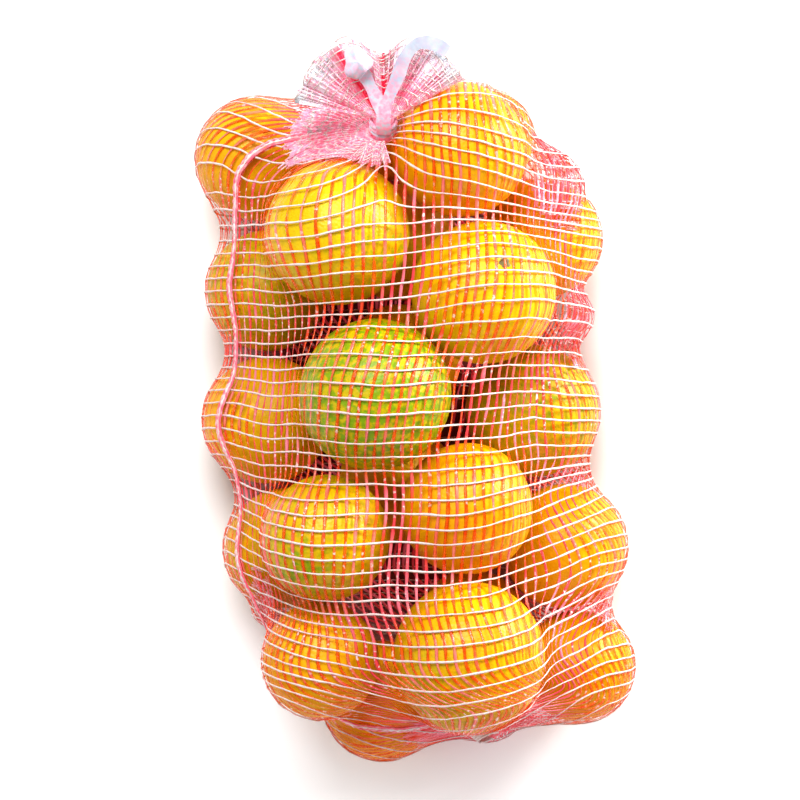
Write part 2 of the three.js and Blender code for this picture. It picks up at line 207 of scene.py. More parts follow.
# The lights: name, place, width and height in mm, and the setting and share that give their power
LIGHTS = (
    ("key_light", (-150, 650, 1000), 700, 500, "key_power", 1.0),
    ("right_light", (850, 480, 300), 260, 260, "right_power", 1.0),
    ("left_fill", (-900, -200, 700), 700, 700, "fill_power", 1.0),
    ("foot_fill", (250, -1000, 450), 600, 400, "fill_power", 1.6),
)
AIM_HEIGHT = 0.05

# The camera stands this high over the floor, and the photograph's middle is this far from the bag's
CAMERA_HEIGHT = 1100.0
CAMERA_X = -8.61
CAMERA_Y = 7.2
VIEW_WIDTH = 432.0
VIEW_LEVEL = 65.0
SENSOR_WIDTH = 36


def settings():
    """The scene's sizes and colours for the net."""
    return bpy.context.scene.net_of_oranges


def circle(count, start=0):
    """Angles evenly round a circle."""
    return 2 * np.pi * (np.arange(count) + start) / count


def unit(vectors):
    """Vectors brought to length 1."""
    return vectors / np.maximum(np.linalg.norm(vectors, axis=-1, keepdims=True), 1e-9)


def turned(vectors, axis, angle):
    """Vectors turned about an axis: v cos a + (k x v) sin a + k (k . v)(1 - cos a)."""
    angle = np.asarray(angle)[..., None]
    along = (vectors @ axis)[..., None]
    across = np.cross(axis, vectors)
    return vectors * np.cos(angle) + across * np.sin(angle) + axis * along * (1 - np.cos(angle))


def laid_oranges():
    """Each orange's middle and radius. One is let down until it meets the floor or an orange already
    there: its height is the largest of its radius less 1 mm and z + root((r + r')^2 - d^2) over those
    under it."""
    laid = np.zeros((0, 4))
    for x, y, radius, _, _ in LOWER_ORANGES + UPPER_ORANGES:
        apart = np.hypot(laid[:, 0] - x, laid[:, 1] - y)
        reach = laid[:, 3] + radius
        rests = np.where(apart < reach, laid[:, 2] + np.sqrt(np.maximum(reach**2 - apart**2, 0)), 0)
        laid = np.vstack([laid, (x, y, max(radius - 1, rests.max(initial=0)), radius)])
    return laid


def slide_lines(finer):
    """The lines that the net's points slide on: where each starts on the spine, and which way it goes.
    Across the bag it goes along (a cos t, 0, b sin t). At the ends it fans towards the gather by a
    share of a right angle, and turns by the same share towards the way that the gather points."""
    row = np.arange((FOOT_ROWS + MIDDLE_ROWS + HEAD_ROWS) * finer + 1)[:, None] / finer
    turn = circle(COLUMNS * finer)[None, :]
    foot = np.clip((FOOT_ROWS - row) / FOOT_ROWS, 0, 1)
    head = np.clip((row - FOOT_ROWS - MIDDLE_ROWS) / HEAD_ROWS, 0, 1)
    spine = np.clip((row - FOOT_ROWS) / MIDDLE_ROWS, 0, 1)
    across = unit(np.stack([HALF_WIDTH * np.cos(turn), 0 * turn, HALF_HEIGHT * np.sin(turn)], -1))
    foot_lift = foot * (np.pi / 2 - KNOT_HALF_ANGLE)
    head_lift = head * (np.pi / 2 - NECK_RADIUS / NECK_DISTANCE)
    level = (np.cos(foot_lift + head_lift) + 0 * turn)[..., None]
    rise = (np.sin(head_lift) - np.sin(foot_lift) + 0 * turn)[..., None]
    way = across * level + rise * np.array((0, 1.0, 0))
    for share, straight, gather in ((foot, (0, -1.0, 0), FOOT_WAY), (head, (0, 1.0, 0), NECK_WAY)):
        axis = np.cross(straight, gather)
        whole = math.asin(np.linalg.norm(axis))
        way = turned(way, axis / np.linalg.norm(axis), share * whole + 0 * turn)
    start = SPINE_FOOT + (SPINE_HEAD - SPINE_FOOT) * spine[..., None] + 0 * way
    return start, way


def outer_reach(start, way, balls):
    """How far along each line the outermost ball's skin is: along + root(along^2 - distance^2 +
    radius^2)."""
    to = balls[:, :3] - start[..., None, :]
    along = (to * way[..., None, :]).sum(-1)
    inside = along**2 - (to**2).sum(-1) + (balls[:, 3] + NET_THICKNESS) ** 2
    return np.where(inside > 0, along + np.sqrt(np.maximum(inside, 0)), 0).max(-1)


def pulled_tight(reach, start, way, least, most, passes):
    """Each point goes to its neighbours' mean, weighted round the bag against along it, and is kept
    outside the balls and above the floor. The row at the neck stays."""
    for _ in range(passes):
        point = start + way * reach[..., None]
        mean = ROUND_PULL * (np.roll(point, 1, 1) + np.roll(point, -1, 1))
        mean[1:-1] += LONG_PULL * (point[:-2] + point[2:])
        mean[0] += LONG_PULL * (point[0] + point[1])
        wanted = ((mean / (2 * (ROUND_PULL + LONG_PULL)) - start) * way).sum(-1)
        wanted = np.clip(wanted, least, most)
        reach[:-1] = 0.1 * reach[:-1] + 0.9 * wanted[:-1]
    return np.clip(reach, least, most)


def stretched_net(oranges):
    """The net's surface as a grid of points, rows from foot to neck and columns round the bag. It is
    pulled tight on a coarse grid, and once more on one that is three times as fine. Between the fruit
    it then hangs in by d = S (1 - exp(-gap / S)), most on top and not near the gathers."""
    balls = np.vstack([oranges, np.array(SLACK, float)])
    reach = None
    for finer, passes in ((1, 1100), (FINER, 160)):
        start, way = slide_lines(finer)
        most = np.where(way[..., 2] < 0, -start[..., 2] / np.minimum(way[..., 2], -1e-9), 1e6)
        least = np.minimum(most, outer_reach(start, way, balls))
        if reach is None:
            reach = np.clip(40.0, least, most)
        else:
            reach = finer_grid(reach, finer)
        least[-1] = NECK_DISTANCE
        most[-1] = NECK_DISTANCE
        reach[-1] = NECK_DISTANCE
        reach = pulled_tight(np.clip(reach, least, most), start, way, least, most, passes)
    rows = np.arange(len(reach))[:, None]
    in_body = np.clip(np.minimum(rows, len(reach) - 1 - rows) / (6 * FINER), 0, 1)
    on_top = np.clip(SINK_AT_SIDES + 1.4 * way[..., 2], 0, 1)
    reach = reach - in_body * on_top * NET_SINK * (1 - np.exp(-(reach - least) / NET_SINK))
    return start + way * reach[..., None]


def finer_grid(values, finer):
    """A grid divided more finely by straight lines, along its rows and round its closed columns."""
    rows = np.arange((values.shape[0] - 1) * finer + 1) / finer
    low = np.minimum(rows.astype(int), values.shape[0] - 2)
    values = values[low] + (values[low + 1] - values[low]) * (rows - low)[:, None]
    columns = np.arange(values.shape[1] * finer) / finer
    left = columns.astype(int)
    right = (left + 1) % values.shape[1]
    return values[:, left] + (values[:, right] - values[:, left]) * (columns - left)


def neck_axes():
    """The neck's right and up, square to the way that it points."""
    up = unit(np.array((0, 0, 1.0)) - NECK_WAY * NECK_WAY[2])
    return np.cross(NECK_WAY, up), up


def neck_point(distance):
    """A point on the neck's middle line."""
    return SPINE_HEAD + NECK_WAY * (NECK_DISTANCE + distance)


def fan_axes():
    """The fan's right, the way ahead in its plane, and its upward normal."""
    ahead = np.array((0, math.cos(FAN_LEAN), math.sin(FAN_LEAN)))
    return np.array((1.0, 0, 0)), ahead, np.array((0, -ahead[2], ahead[1]))


def fan_surface(share, turn, thick=1.0, phase=0.0, deep=1.0):
    """The frill above the neck. Its angle is middle - half cos t and its thickness follows sin t. It
    opens by share times a length that dips in the middle, with pleats that deepen towards the hem."""
    right, ahead, normal = fan_axes()
    angle = FAN_MIDDLE - FAN_HALF_ANGLE * np.cos(turn)
    out = np.cos(angle)[..., None] * right + np.sin(angle)[..., None] * ahead
    length = FAN_LENGTH - FAN_DIP * np.exp(-(((angle - FAN_DIP_ANGLE) / FAN_DIP_WIDTH) ** 2))
    half = (FAN_THICKNESS + (FAN_HEM_THICKNESS - FAN_THICKNESS) * share) / 2 * thick
    wave = np.cos(np.pi * FAN_PLEATS * (angle - FAN_MIDDLE) / FAN_HALF_ANGLE + phase)
    pleat = FAN_PLEAT_HEIGHT * deep * share * wave
    sideways = (NECK_RADIUS * np.cos(turn) * (1 - share))[..., None] * right
    lift = (half * np.sin(turn) + pleat)[..., None] * normal
    return neck_point(NECK_LENGTH) + sideways + out * (length * share)[..., None] + lift


def whole_net(oranges):
    """The surface from the knot at the foot, over the fruit, through the neck and out to the frill's
    hem. Returns the grid and the rows where the body starts and where it meets the neck."""
    body = stretched_net(oranges)
    count = body.shape[1]
    turn = circle(count)
    middle = body[0].mean(0)
    knot = [
        (body[0] - middle) * wide + middle + FOOT_WAY * KNOT_LENGTH * out
        for out, wide in KNOT_ROWS
    ]
    right, up = neck_axes()
    ring = (np.cos(turn)[:, None] * right + np.sin(turn)[:, None] * up) * NECK_RADIUS
    neck = [neck_point(NECK_LENGTH * k / NECK_RINGS) + ring for k in range(1, NECK_RINGS + 1)]
    share = np.arange(1, FAN_RINGS + 1)[:, None] / FAN_RINGS
    fan = fan_surface(share + 0 * turn, turn + 0 * share)
    grid = np.concatenate([knot, body, neck, fan])
    return grid, len(knot), len(knot) + body.shape[0] - 1


def outward(grid):
    """The unit normals of a grid that is closed round its columns: along the rows x round the
    columns."""
    along = np.gradient(grid, axis=0)
    round_bag = np.roll(grid, -1, 1) - np.roll(grid, 1, 1)
    return unit(np.cross(along, round_bag))


def seam_columns(grid, body_start, body_end):
    """Where the side seam crosses each row, as a broken column: it goes evenly from foot to neck."""
    share = np.clip((np.arange(len(grid)) - body_start) / (body_end - body_start), 0, 1)
    return FINER * (SEAM_COLUMN_AT_FOOT + (SEAM_COLUMN_AT_HEAD - SEAM_COLUMN_AT_FOOT) * share)


def on_columns(values, column):
    """Values of a closed grid read at one broken column of each row."""
    left = np.floor(column).astype(int)
    part = (column - left)[:, None]
    row = np.arange(len(values))
    columns = values.shape[1]
    return values[row, left % columns] * (1 - part) + values[row, (left + 1) % columns] * part


def ramp(values, low, high):
    """A smooth step from 0 at low to 1 at high: t^2 (3 - 2 t)."""
    t = np.clip((values - low) / (high - low), 0, 1)
    return t * t * (3 - 2 * t)


def folds(points, seed, longest, shortest):
    """Slow smooth noise in space, about -1 to 1: a mean of nine sines with drawn ways, lengths and
    phases."""
    chance = np.random.default_rng(seed)
    total = np.zeros(points.shape[:-1])
    for length in np.geomspace(longest, shortest, 9):
        way = unit(chance.normal(size=3)) * 2 * np.pi / length
        total += np.sin(points @ way + chance.uniform(0, 2 * np.pi))
    return total / 3.2


def drape(x, y):
    """The table of how threads hang, read by straight lines between its places and rounded at them: the
    mean of three readings a little apart, the middle one twice."""
    levels = sum(
        share * np.stack([np.interp(x + aside, DRAPE_X, row) for row in DRAPE])
        for aside, share in ((-DRAPE_ROUNDING, 0.25), (0, 0.5), (DRAPE_ROUNDING, 0.25))
    )
    place = np.interp(y, DRAPE_Y, np.arange(len(DRAPE_Y)))
    low = np.minimum(place.astype(int), len(DRAPE_Y) - 2)
    part = ramp(place - low, 0, 1)
    under, over = (np.take_along_axis(levels, row[None], 0)[0] for row in (low, low + 1))
    return under * (1 - part) + over * part


def slack_depth(points, oranges):
    """How far the net stands off the fruit: the distance to the nearest skin, up to the most that
    counts."""
    nearest = np.full(points.shape[:-1], MOST_SLACK)
    for x, y, z, radius in oranges:
        away = np.linalg.norm(points - (x, y, z), axis=-1) - radius - NET_THICKNESS
        nearest = np.minimum(nearest, away)
    return np.maximum(nearest, 0)


def tape_field(grid, normals, seam, loose):
    """Counts the tapes at each grid point: from the seam round either side by share of the ring's
    length. Where the shown side is broad the count follows x instead, less how far the tapes have moved
    at that y."""
    columns = grid.shape[1]
    steps = np.linalg.norm(np.roll(grid, -1, 1) - grid, axis=-1)
    length = np.concatenate([np.zeros((len(grid), 1)), np.cumsum(steps, 1)], 1)
    whole = length[:, -1:]
    left = np.floor(seam).astype(int)
    row = np.arange(len(grid))
    seam_length = (length[row, left] + (seam - left) * steps[row, left % columns])[:, None]
    round_bag = (length[:, :-1] - seam_length) % whole
    tapes = settings().tapes * np.minimum(round_bag, whole - round_bag) / whole
    x, y = np.moveaxis(grid[..., :2] + PLACE[:2], -1, 0)
    aside, ahead, up = np.abs(normals[..., 0]), normals[..., 1], normals[..., 2]
    head_wall = ramp(ahead - 0.6 * aside, 0.0, 0.5) * ramp(y, 120, 145) * ramp(up, -0.9, -0.4)
    front = np.maximum(ramp(up, 0.0, 0.4), head_wall)
    # The mean count at stations across the shown side, and beyond them a straight line
    shown = (up > 0.5) & (np.abs(y) < 130)
    stations = np.linspace(-100, 100, 21)
    near = np.exp(-(((x[shown][None] - stations[:, None]) / 8) ** 2))
    by_place = (near * tapes[shown]).sum(1) / near.sum(1)
    slope = (by_place[-1] - by_place[-3]) / (stations[-1] - stations[-3])
    moved = x - np.interp(y, LEAN_Y, LEAN) * front
    plan = np.interp(moved, stations, by_place)
    plan = plan + slope * (np.maximum(moved - stations[-1], 0) + np.minimum(moved - stations[0], 0))
    # Where that plan counts: not at the sides, at the foot or at the left of the head
    wall = 1 - ramp(up, 0.0, 0.5)
    left_head = ramp(y, 116, 140) * (1 - ramp((x + 10 - 15 * wall) / (28 + 47 * wall), -1, 0))
    broad = front * (1 - ramp(x, 25, 102)) * (1 - ramp(-x, 30, 84)) * ramp(y, -150, -95) * (1 - left_head)
    uneven = 0.12 * loose * folds(grid, 31, 90, 22) * ramp(whole + 0 * x, 60, 200)
    return tapes + (plan - tapes) * broad + uneven


def thread_field(grid, normals, loose):
    """Counts the crossways threads at each grid point: y less the drape in front, squeezed at the
    tie by d (1 + A exp(-(d / r)^2 - (root(x^2 + s^2) - s) / w)), and carried down the walls at both
    ends."""
    looks = settings()
    x, y, z = np.moveaxis(grid + PLACE, -1, 0)
    away = y - drape(x, y) * ramp(z, 8, 45) - TIE_PLACE[1]
    across = np.hypot(x - TIE_PLACE[0], 7) - 7
    squeeze = looks.tie_squeeze * np.exp(-((away / 26) ** 2) - across / 14)
    level = TIE_PLACE[1] + away * (1 + squeeze)
    down = 0.6 * np.maximum(56 - z, 0) * (1 - ramp(normals[..., 2], -0.2, 0.6))
    level = level - down * ramp(-y, 110, 165) + down * ramp(y, 130, 175)
    level = level + 0.6 * loose * folds(grid, 32, 120, 34) + 0.16 * folds(grid, 33, 18, 9)
    return level / (looks.thread_spacing / MM)


def level_strands(grid, normals, field, levels, carried):
    """Strands along a field's level lines on a closed grid. On every grid edge that a level crosses
    there is one point. Going round a cell, each edge where the field rises over the level is joined
    with the next crossed one. Returns the points, normals, the strand's direction, pieces, the carried
    values, and the room between levels, which is 1 / |gradient|."""
    beside = np.roll(field, -1, 1)
    stack = np.concatenate([grid, normals, carried], -1)
    stack_beside = np.roll(stack, -1, 1)
    found, pieces, count = [], [], 0
    for level in levels:
        over, over_beside = field > level, beside > level
        along, round_bag = over[:-1] != over[1:], over != over_beside
        part = ((level - field[:-1][along]) / (field[1:][along] - field[:-1][along]))[:, None]
        first = stack[:-1][along] * (1 - part) + stack[1:][along] * part
        part = ((level - field[round_bag]) / (beside[round_bag] - field[round_bag]))[:, None]
        second = stack[round_bag] * (1 - part) + stack_beside[round_bag] * part
        along_index, round_index = np.full(along.shape, -1), np.full(round_bag.shape, -1)
        along_index[along] = count + np.arange(len(first))
        round_index[round_bag] = count + len(first) + np.arange(len(second))
        edges = [round_index[:-1], np.roll(along_index, -1, 1), round_index[1:], along_index]
        corners = [over_beside[:-1], over_beside[1:], over[1:], over[:-1]]
        edges, corners = (np.stack(each, -1).reshape(-1, 4) for each in (edges, corners))
        crossed = edges >= 0
        rises = crossed & corners
        for side in range(4):
            waiting = rises[:, side].copy()
            for other in (side + 1, side + 2, side + 3):
                cell = np.nonzero(waiting & crossed[:, other % 4])[0]
                pieces.append(np.stack([edges[cell, side], edges[cell, other % 4], cell], -1))
                waiting[cell] = False
        found += [first, second]
        count += len(first) + len(second)
    found, pieces = np.concatenate(found), np.concatenate(pieces)
    points, normal, values = found[:, :3], unit(found[:, 3:6]), found[:, 6:]
    shapes = []
    for each in (field[..., None], grid):
        low, high = each[:-1], each[1:]
        low_beside, high_beside = np.roll(low, -1, 1), np.roll(high, -1, 1)
        shapes.append([
            (high + high_beside - low - low_beside).reshape(-1, each.shape[-1])[pieces[:, 2]],
            (low_beside + high_beside - low - high).reshape(-1, each.shape[-1])[pieces[:, 2]],
        ])
    (up, aside), (up_way, aside_way) = shapes
    pairs = ((up_way, up_way), (aside_way, aside_way), (up_way, aside_way))
    uu, vv, uv = [(one * two).sum(1)[:, None] for one, two in pairs]
    rise = (up * vv - aside * uv) * up_way + (aside * uu - up * uv) * aside_way
    rise = rise / np.maximum(uu * vv - uv**2, 1e-9)
    room = 1 / np.maximum(np.linalg.norm(rise, axis=1), 1e-3)
    run = points[pieces[:, 1]] - points[pieces[:, 0]]
    sums = [
        sum(np.bincount(pieces[:, end], each, len(points)) for end in (0, 1))
        for each in (*run.T, room, 0 * room + 1)
    ]
    forward = unit(np.stack(sums[:3], -1))
    return points, normal, forward, pieces[:, :2], values, sums[3] / np.maximum(sums[4], 1)


def strand_mesh(points, normals, forward, pieces, wide, high):
    """Four-sided strands over joined pieces: each point has a flat diamond across the strand's way, and
    open ends are closed."""
    across = unit(np.cross(normals, forward))
    upward = unit(np.cross(forward, across))
    wide, high = wide[:, None], high[:, None]
    corners = np.stack([
        points + across * wide, points + upward * high, points - across * wide, points - upward * high
    ], 1)
    index = np.arange(len(points) * 4).reshape(-1, 4)
    start, stop = index[pieces[:, 0]], index[pieces[:, 1]]
    quads = np.stack([start, np.roll(start, -1, 1), np.roll(stop, -1, 1), stop], -1).reshape(-1, 4)
    starts = np.bincount(pieces[:, 0], minlength=len(points))
    stops = np.bincount(pieces[:, 1], minlength=len(points))
    caps = [index[(starts == 1) & (stops == 0)][:, ::-1], index[(starts == 0) & (stops == 1)]]
    return corners, np.concatenate([quads, *caps])


def swept(points, normals, wide, high, closed, roll=0.0, sides=4):
    """A strand's surface: at each point a flat ellipse, wide across the net and high off it, turned by
    roll. points are by strand and place, and the result is by strand, place and side."""
    if closed:
        forward = unit(np.roll(points, -1, 1) - np.roll(points, 1, 1))
    else:
        forward = unit(np.gradient(points, axis=1))
    across = unit(np.cross(normals, forward))
    upward = np.cross(forward, across)
    turn = circle(sides)[None, None, :]
    across_part = np.cos(turn) * np.asarray(wide)[..., None]
    up_part = np.sin(turn) * np.asarray(high)[..., None]
    roll = np.asarray(roll)[..., None]
    x = across_part * np.cos(roll) - up_part * np.sin(roll)
    y = across_part * np.sin(roll) + up_part * np.cos(roll)
    points, across, upward = (each[..., None, :] for each in (points, across, upward))
    return points + across * x[..., None] + upward * y[..., None]


def strand_faces(strands, places, sides, closed):
    """The quads of swept strands, and of their two ends where they aren't closed."""
    index = np.arange(strands * places * sides).reshape(strands, places, sides)
    ahead = np.roll(index, -1, 1)
    here = index if closed else index[:, :-1]
    ahead = ahead if closed else ahead[:, :-1]
    quads = np.stack([here, np.roll(here, -1, 2), np.roll(ahead, -1, 2), ahead], -1).reshape(-1, 4)
    if closed:
        return quads
    fan = np.array([(0, k, k + 1, k + 2) for k in range(1, sides - 2, 2)])
    ends = [index[:, 0, ::-1], index[:, -1]]
    return np.concatenate([quads, *(end[:, fan].reshape(-1, 4) for end in ends)])


def new_piece(name, points, quads, triangles, material, values=None):
    """A mesh object from points in millimetres and arrays of faces, with named values at its points."""
    mesh = bpy.data.meshes.new(name)
    points = np.asarray(points, float).reshape(-1, 3) + PLACE
    quads = np.asarray(quads, int).reshape(-1, 4)
    triangles = np.asarray(triangles, int).reshape(-1, 3)
    corners = np.concatenate([quads.ravel(), triangles.ravel()])
    starts = np.concatenate([np.arange(len(quads)) * 4, len(quads) * 4 + np.arange(len(triangles)) * 3])
    mesh.vertices.add(len(points))
    mesh.vertices.foreach_set("co", (points * MM).ravel())
    mesh.loops.add(len(corners))
    mesh.loops.foreach_set("vertex_index", corners)
    mesh.polygons.add(len(starts))
    mesh.polygons.foreach_set("loop_start", starts)
    mesh.update(calc_edges=True)
    mesh.validate()
    mesh.polygons.foreach_set("use_smooth", np.ones(len(mesh.polygons), bool))
    for key, numbers in (values or {}).items():
        layer = mesh.attributes.new(key, "FLOAT", "POINT")
        layer.data.foreach_set("value", np.asarray(numbers, np.float32).ravel())
    mesh.update()
    mesh.materials.append(material)
    piece = bpy.data.objects.new(name, mesh)
    bpy.context.scene.collection.objects.link(piece)
    return piece


def net_piece(name, points, quads, triangles, material, values=None):
    """A piece that rides on the bag's body, stands for its plain solid and has its finish from a slot."""
    piece = new_piece(name, points, quads, triangles, material, values)
    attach(piece, "root")
    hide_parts("net_bag")


def above_floor(points, clear=FLOOR_CLEAR):
    """Points lifted to just over the floor where they would go into it."""
    points[..., 2] = np.maximum(points[..., 2], clear)
    return points


def strand_piece(name, strands, wide, high, material, values):
    """Strands over joined pieces as a piece of the net, with each point's values at its four corners.
    strands holds the points, normals, ways ahead and pieces."""
    corners, faces = strand_mesh(*strands, wide, high)
    values = {key: np.repeat(value, 4) for key, value in values.items()}
    net_piece(name, above_floor(corners), faces, (), material, values)


def swept_piece(
    name, points, normals, wide, high, closed, material, values=None, roll=0.0, sides=4
):
    """Swept strands as a piece of the net, with each place's values at all the points round it."""
    surface = above_floor(swept(points, normals, wide, high, closed, roll, sides))
    faces = strand_faces(*surface.shape[:3], closed)
    values = {key: np.repeat(value[..., None], sides, 2) for key, value in (values or {}).items()}
    net_piece(name, surface, faces, (), material, values)


def ring_quads(index):
    """The quads of a grid of point numbers, by row and place, that is closed round its places."""
    beside = np.roll(index, -1, -1)
    sides = [index[..., :-1, :], index[..., 1:, :], beside[..., 1:, :], beside[..., :-1, :]]
    return np.stack(sides, -1).reshape(-1, 4)


_net = {}


def whole_bag():
    """The fruit, the net's surface and its two fields, worked out once."""
    if not _net:
        oranges = laid_oranges()
        grid, body_start, body_end = whole_net(oranges)
        normals = outward(grid)
        seam = seam_columns(grid, body_start, body_end)
        body = slice(0, body_end + 1)
        loose = 1 + 0.04 * slack_depth(grid[body], oranges)
        _net.update(
            oranges=oranges, grid=grid, normals=normals, seam=seam, start=body_start, end=body_end,
            body_grid=grid[body], body_normals=normals[body],
            tapes=tape_field(grid[body], normals[body], seam[body], loose),
            threads=thread_field(grid[body], normals[body], loose),
        )
    return _net


# Materials


def mottle_group():
    """A group that puts out a soft mask and a height, both from noise in Object coordinates."""
    group = bpy.data.node_groups.get("soft_mottle")
    if group:
        return group
    group = bpy.data.node_groups.new("soft_mottle", "ShaderNodeTree")
    nodes, links = group.nodes, group.links
    for name in ("Scale", "Detail", "Low", "High"):
        group.interface.new_socket(name, in_out="INPUT", socket_type="NodeSocketFloat")
    for name in ("Mask", "Height"):
        group.interface.new_socket(name, in_out="OUTPUT", socket_type="NodeSocketFloat")
    taken, given = nodes.new("NodeGroupInput"), nodes.new("NodeGroupOutput")
    place, noise = nodes.new("ShaderNodeTexCoord"), nodes.new("ShaderNodeTexNoise")
    spread = nodes.new("ShaderNodeMapRange")
    links.new(place.outputs["Object"], noise.inputs["Vector"])
    for name, socket in (
        ("Scale", noise.inputs["Scale"]),
        ("Detail", noise.inputs["Detail"]),
        ("Low", spread.inputs["From Min"]),
        ("High", spread.inputs["From Max"]),
    ):
        links.new(taken.outputs[name], socket)
    links.new(noise.outputs["Fac"], spread.inputs["Value"])
    links.new(spread.outputs["Result"], given.inputs["Mask"])
    links.new(noise.outputs["Fac"], given.inputs["Height"])
    return group


class Look:
    """A material in the making: its nodes, and the shader that they feed. Where a method takes a value,
    it takes a number, a colour or another node's output."""

    def __init__(self, name):
        self.material = bpy.data.materials.new(name)
        self.material.use_nodes = True
        self.tree = self.material.node_tree
        self.shader = self.tree.nodes["Principled BSDF"]

    def give(self, socket, value):
        """A value put into a socket."""
        if isinstance(value, bpy.types.NodeSocket):
            self.tree.links.new(value, socket)
        elif isinstance(value, (int, float)):
            socket.default_value = value
        else:
            socket.default_value = (*value[:3], 1.0)

    def mottle(self, scale, detail, low, high):
        """The soft mottle's mask and height. The mask goes from 0 to 1 between low and high."""
        node = self.tree.nodes.new("ShaderNodeGroup")
        node.node_tree = mottle_group()
        for name, value in (("Scale", scale), ("Detail", detail), ("Low", low), ("High", high)):
            node.inputs[name].default_value = value
        return node.outputs["Mask"], node.outputs["Height"]

    def attribute(self, name):
        """A named number at the mesh's points."""
        node = self.tree.nodes.new("ShaderNodeAttribute")
        node.attribute_name = name
        return node.outputs["Fac"]

    def place(self):
        """The Object coordinates."""
        return self.tree.nodes.new("ShaderNodeTexCoord").outputs["Object"]

    def mix(self, factor, first, second):
        """A colour between two."""
        node = self.tree.nodes.new("ShaderNodeMix")
        node.data_type = "RGBA"
        for name, value in (("Factor", factor), ("A", first), ("B", second)):
            self.give(node.inputs[name], value)
        return node.outputs["Result"]

    def maths(self, operation, first, second, clamp=False):
        """Two numbers made into one."""
        node = self.tree.nodes.new("ShaderNodeMath")
        node.operation = operation
        node.use_clamp = clamp
        self.give(node.inputs[0], first)
        self.give(node.inputs[1], second)
        return node.outputs[0]

    def times(self, first, second, clamp=False):
        """A product."""
        return self.maths("MULTIPLY", first, second, clamp)

    def plus(self, first, second, clamp=False):
        """A sum."""
        return self.maths("ADD", first, second, clamp)

    def passing(self, count, width):
        """1 where a count passes a half and 0 away from it: 1 - |fraction - 1/2| / width, at least
        0."""
        fraction = self.maths("FRACT", count, 0.0)
        off = self.maths("ABSOLUTE", self.maths("SUBTRACT", fraction, 0.5), 0.0)
        return self.maths("SUBTRACT", 1.0, self.maths("DIVIDE", off, width), True)

    def bump(self, height, distance, strength):
        """A height as a bump on the shader."""
        node = self.tree.nodes.new("ShaderNodeBump")
        node.inputs["Distance"].default_value = distance
        node.inputs["Strength"].default_value = strength
        self.tree.links.new(height, node.inputs["Height"])
        self.tree.links.new(node.outputs["Normal"], self.shader.inputs["Normal"])

    def finish(self, **values):
        """The shader's inputs, by their names with _ for a space. Gives the material."""
        for name, value in values.items():
            self.give(self.shader.inputs[name.replace("_", " ")], value)
        return self.material


def peel_material():
    """Orange peel: deep orange to gold by fruit and by mottle, green where unripe, with pores."""
    looks, look = settings(), Look("orange_peel")
    broad, _ = look.mottle(38.0, 2.0, 0.3, 0.7)
    fine, _ = look.mottle(260.0, 4.0, 0.42, 0.66)
    freckles, _ = look.mottle(900.0, 2.0, 0.62, 0.72)
    gold = look.plus(look.attribute("gold"), look.times(broad, 0.35))
    gold = look.maths("SUBTRACT", gold, 0.17, True)
    colour = look.mix(gold, looks.deep_peel, looks.gold_peel)
    green = look.times(look.attribute("green"), look.plus(fine, 0.45), True)
    colour = look.mix(green, colour, looks.green_peel)
    colour = look.mix(look.times(freckles, 0.35), colour, looks.pore_peel)
    pores = look.tree.nodes.new("ShaderNodeTexVoronoi")
    look.tree.links.new(look.place(), pores.inputs["Vector"])
    pores.inputs["Scale"].default_value = 620.0
    look.bump(pores.outputs["Distance"], 0.00035, 0.55)
    return look.finish(Base_Color=colour, Roughness=0.4, Specular_IOR_Level=0.35)


def tape_material():
    """The net's lengthways tapes: thin clear plastic film, orange red on the fruit, crimson where it
    hangs, pale pink in the frill, with painted highlights, small white glints in clusters, and a faint
    glow that is painted light. It hides more where it hangs and in the frill."""
    looks, look = settings(), Look("net_tape")
    streaks, height = look.mottle(300.0, 2.0, 0.4, 0.62)
    painted_glints, _ = look.mottle(430.0, 2.0, 0.58, 0.66)
    clusters, _ = look.mottle(30.0, 2.0, 0.44, 0.62)
    redness, loose = look.attribute("redness"), look.attribute("loose")
    red = look.mix(look.times(streaks, 0.6), looks.red_tape, looks.rose_tape)
    red = look.mix(loose, red, looks.hanging_tape)
    colour = look.mix(redness, looks.pale_tape, red)
    # Painted highlights: white glints laid on as colour where the two mottles meet
    colour = look.mix(look.times(painted_glints, clusters), colour, (1.0, 0.80, 0.78))
    paleness = look.times(look.maths("SUBTRACT", 1.0, redness), 0.45)
    cover = look.plus(look.plus(paleness, look.times(loose, 0.3)), looks.tape_cover, True)
    look.bump(height, 0.0003, 0.4)
    # The tapes glow a little: painted light that keeps them bright in shade
    return look.finish(
        Base_Color=colour, Emission_Color=colour, Emission_Strength=0.14, Alpha=cover, Roughness=0.22
    )


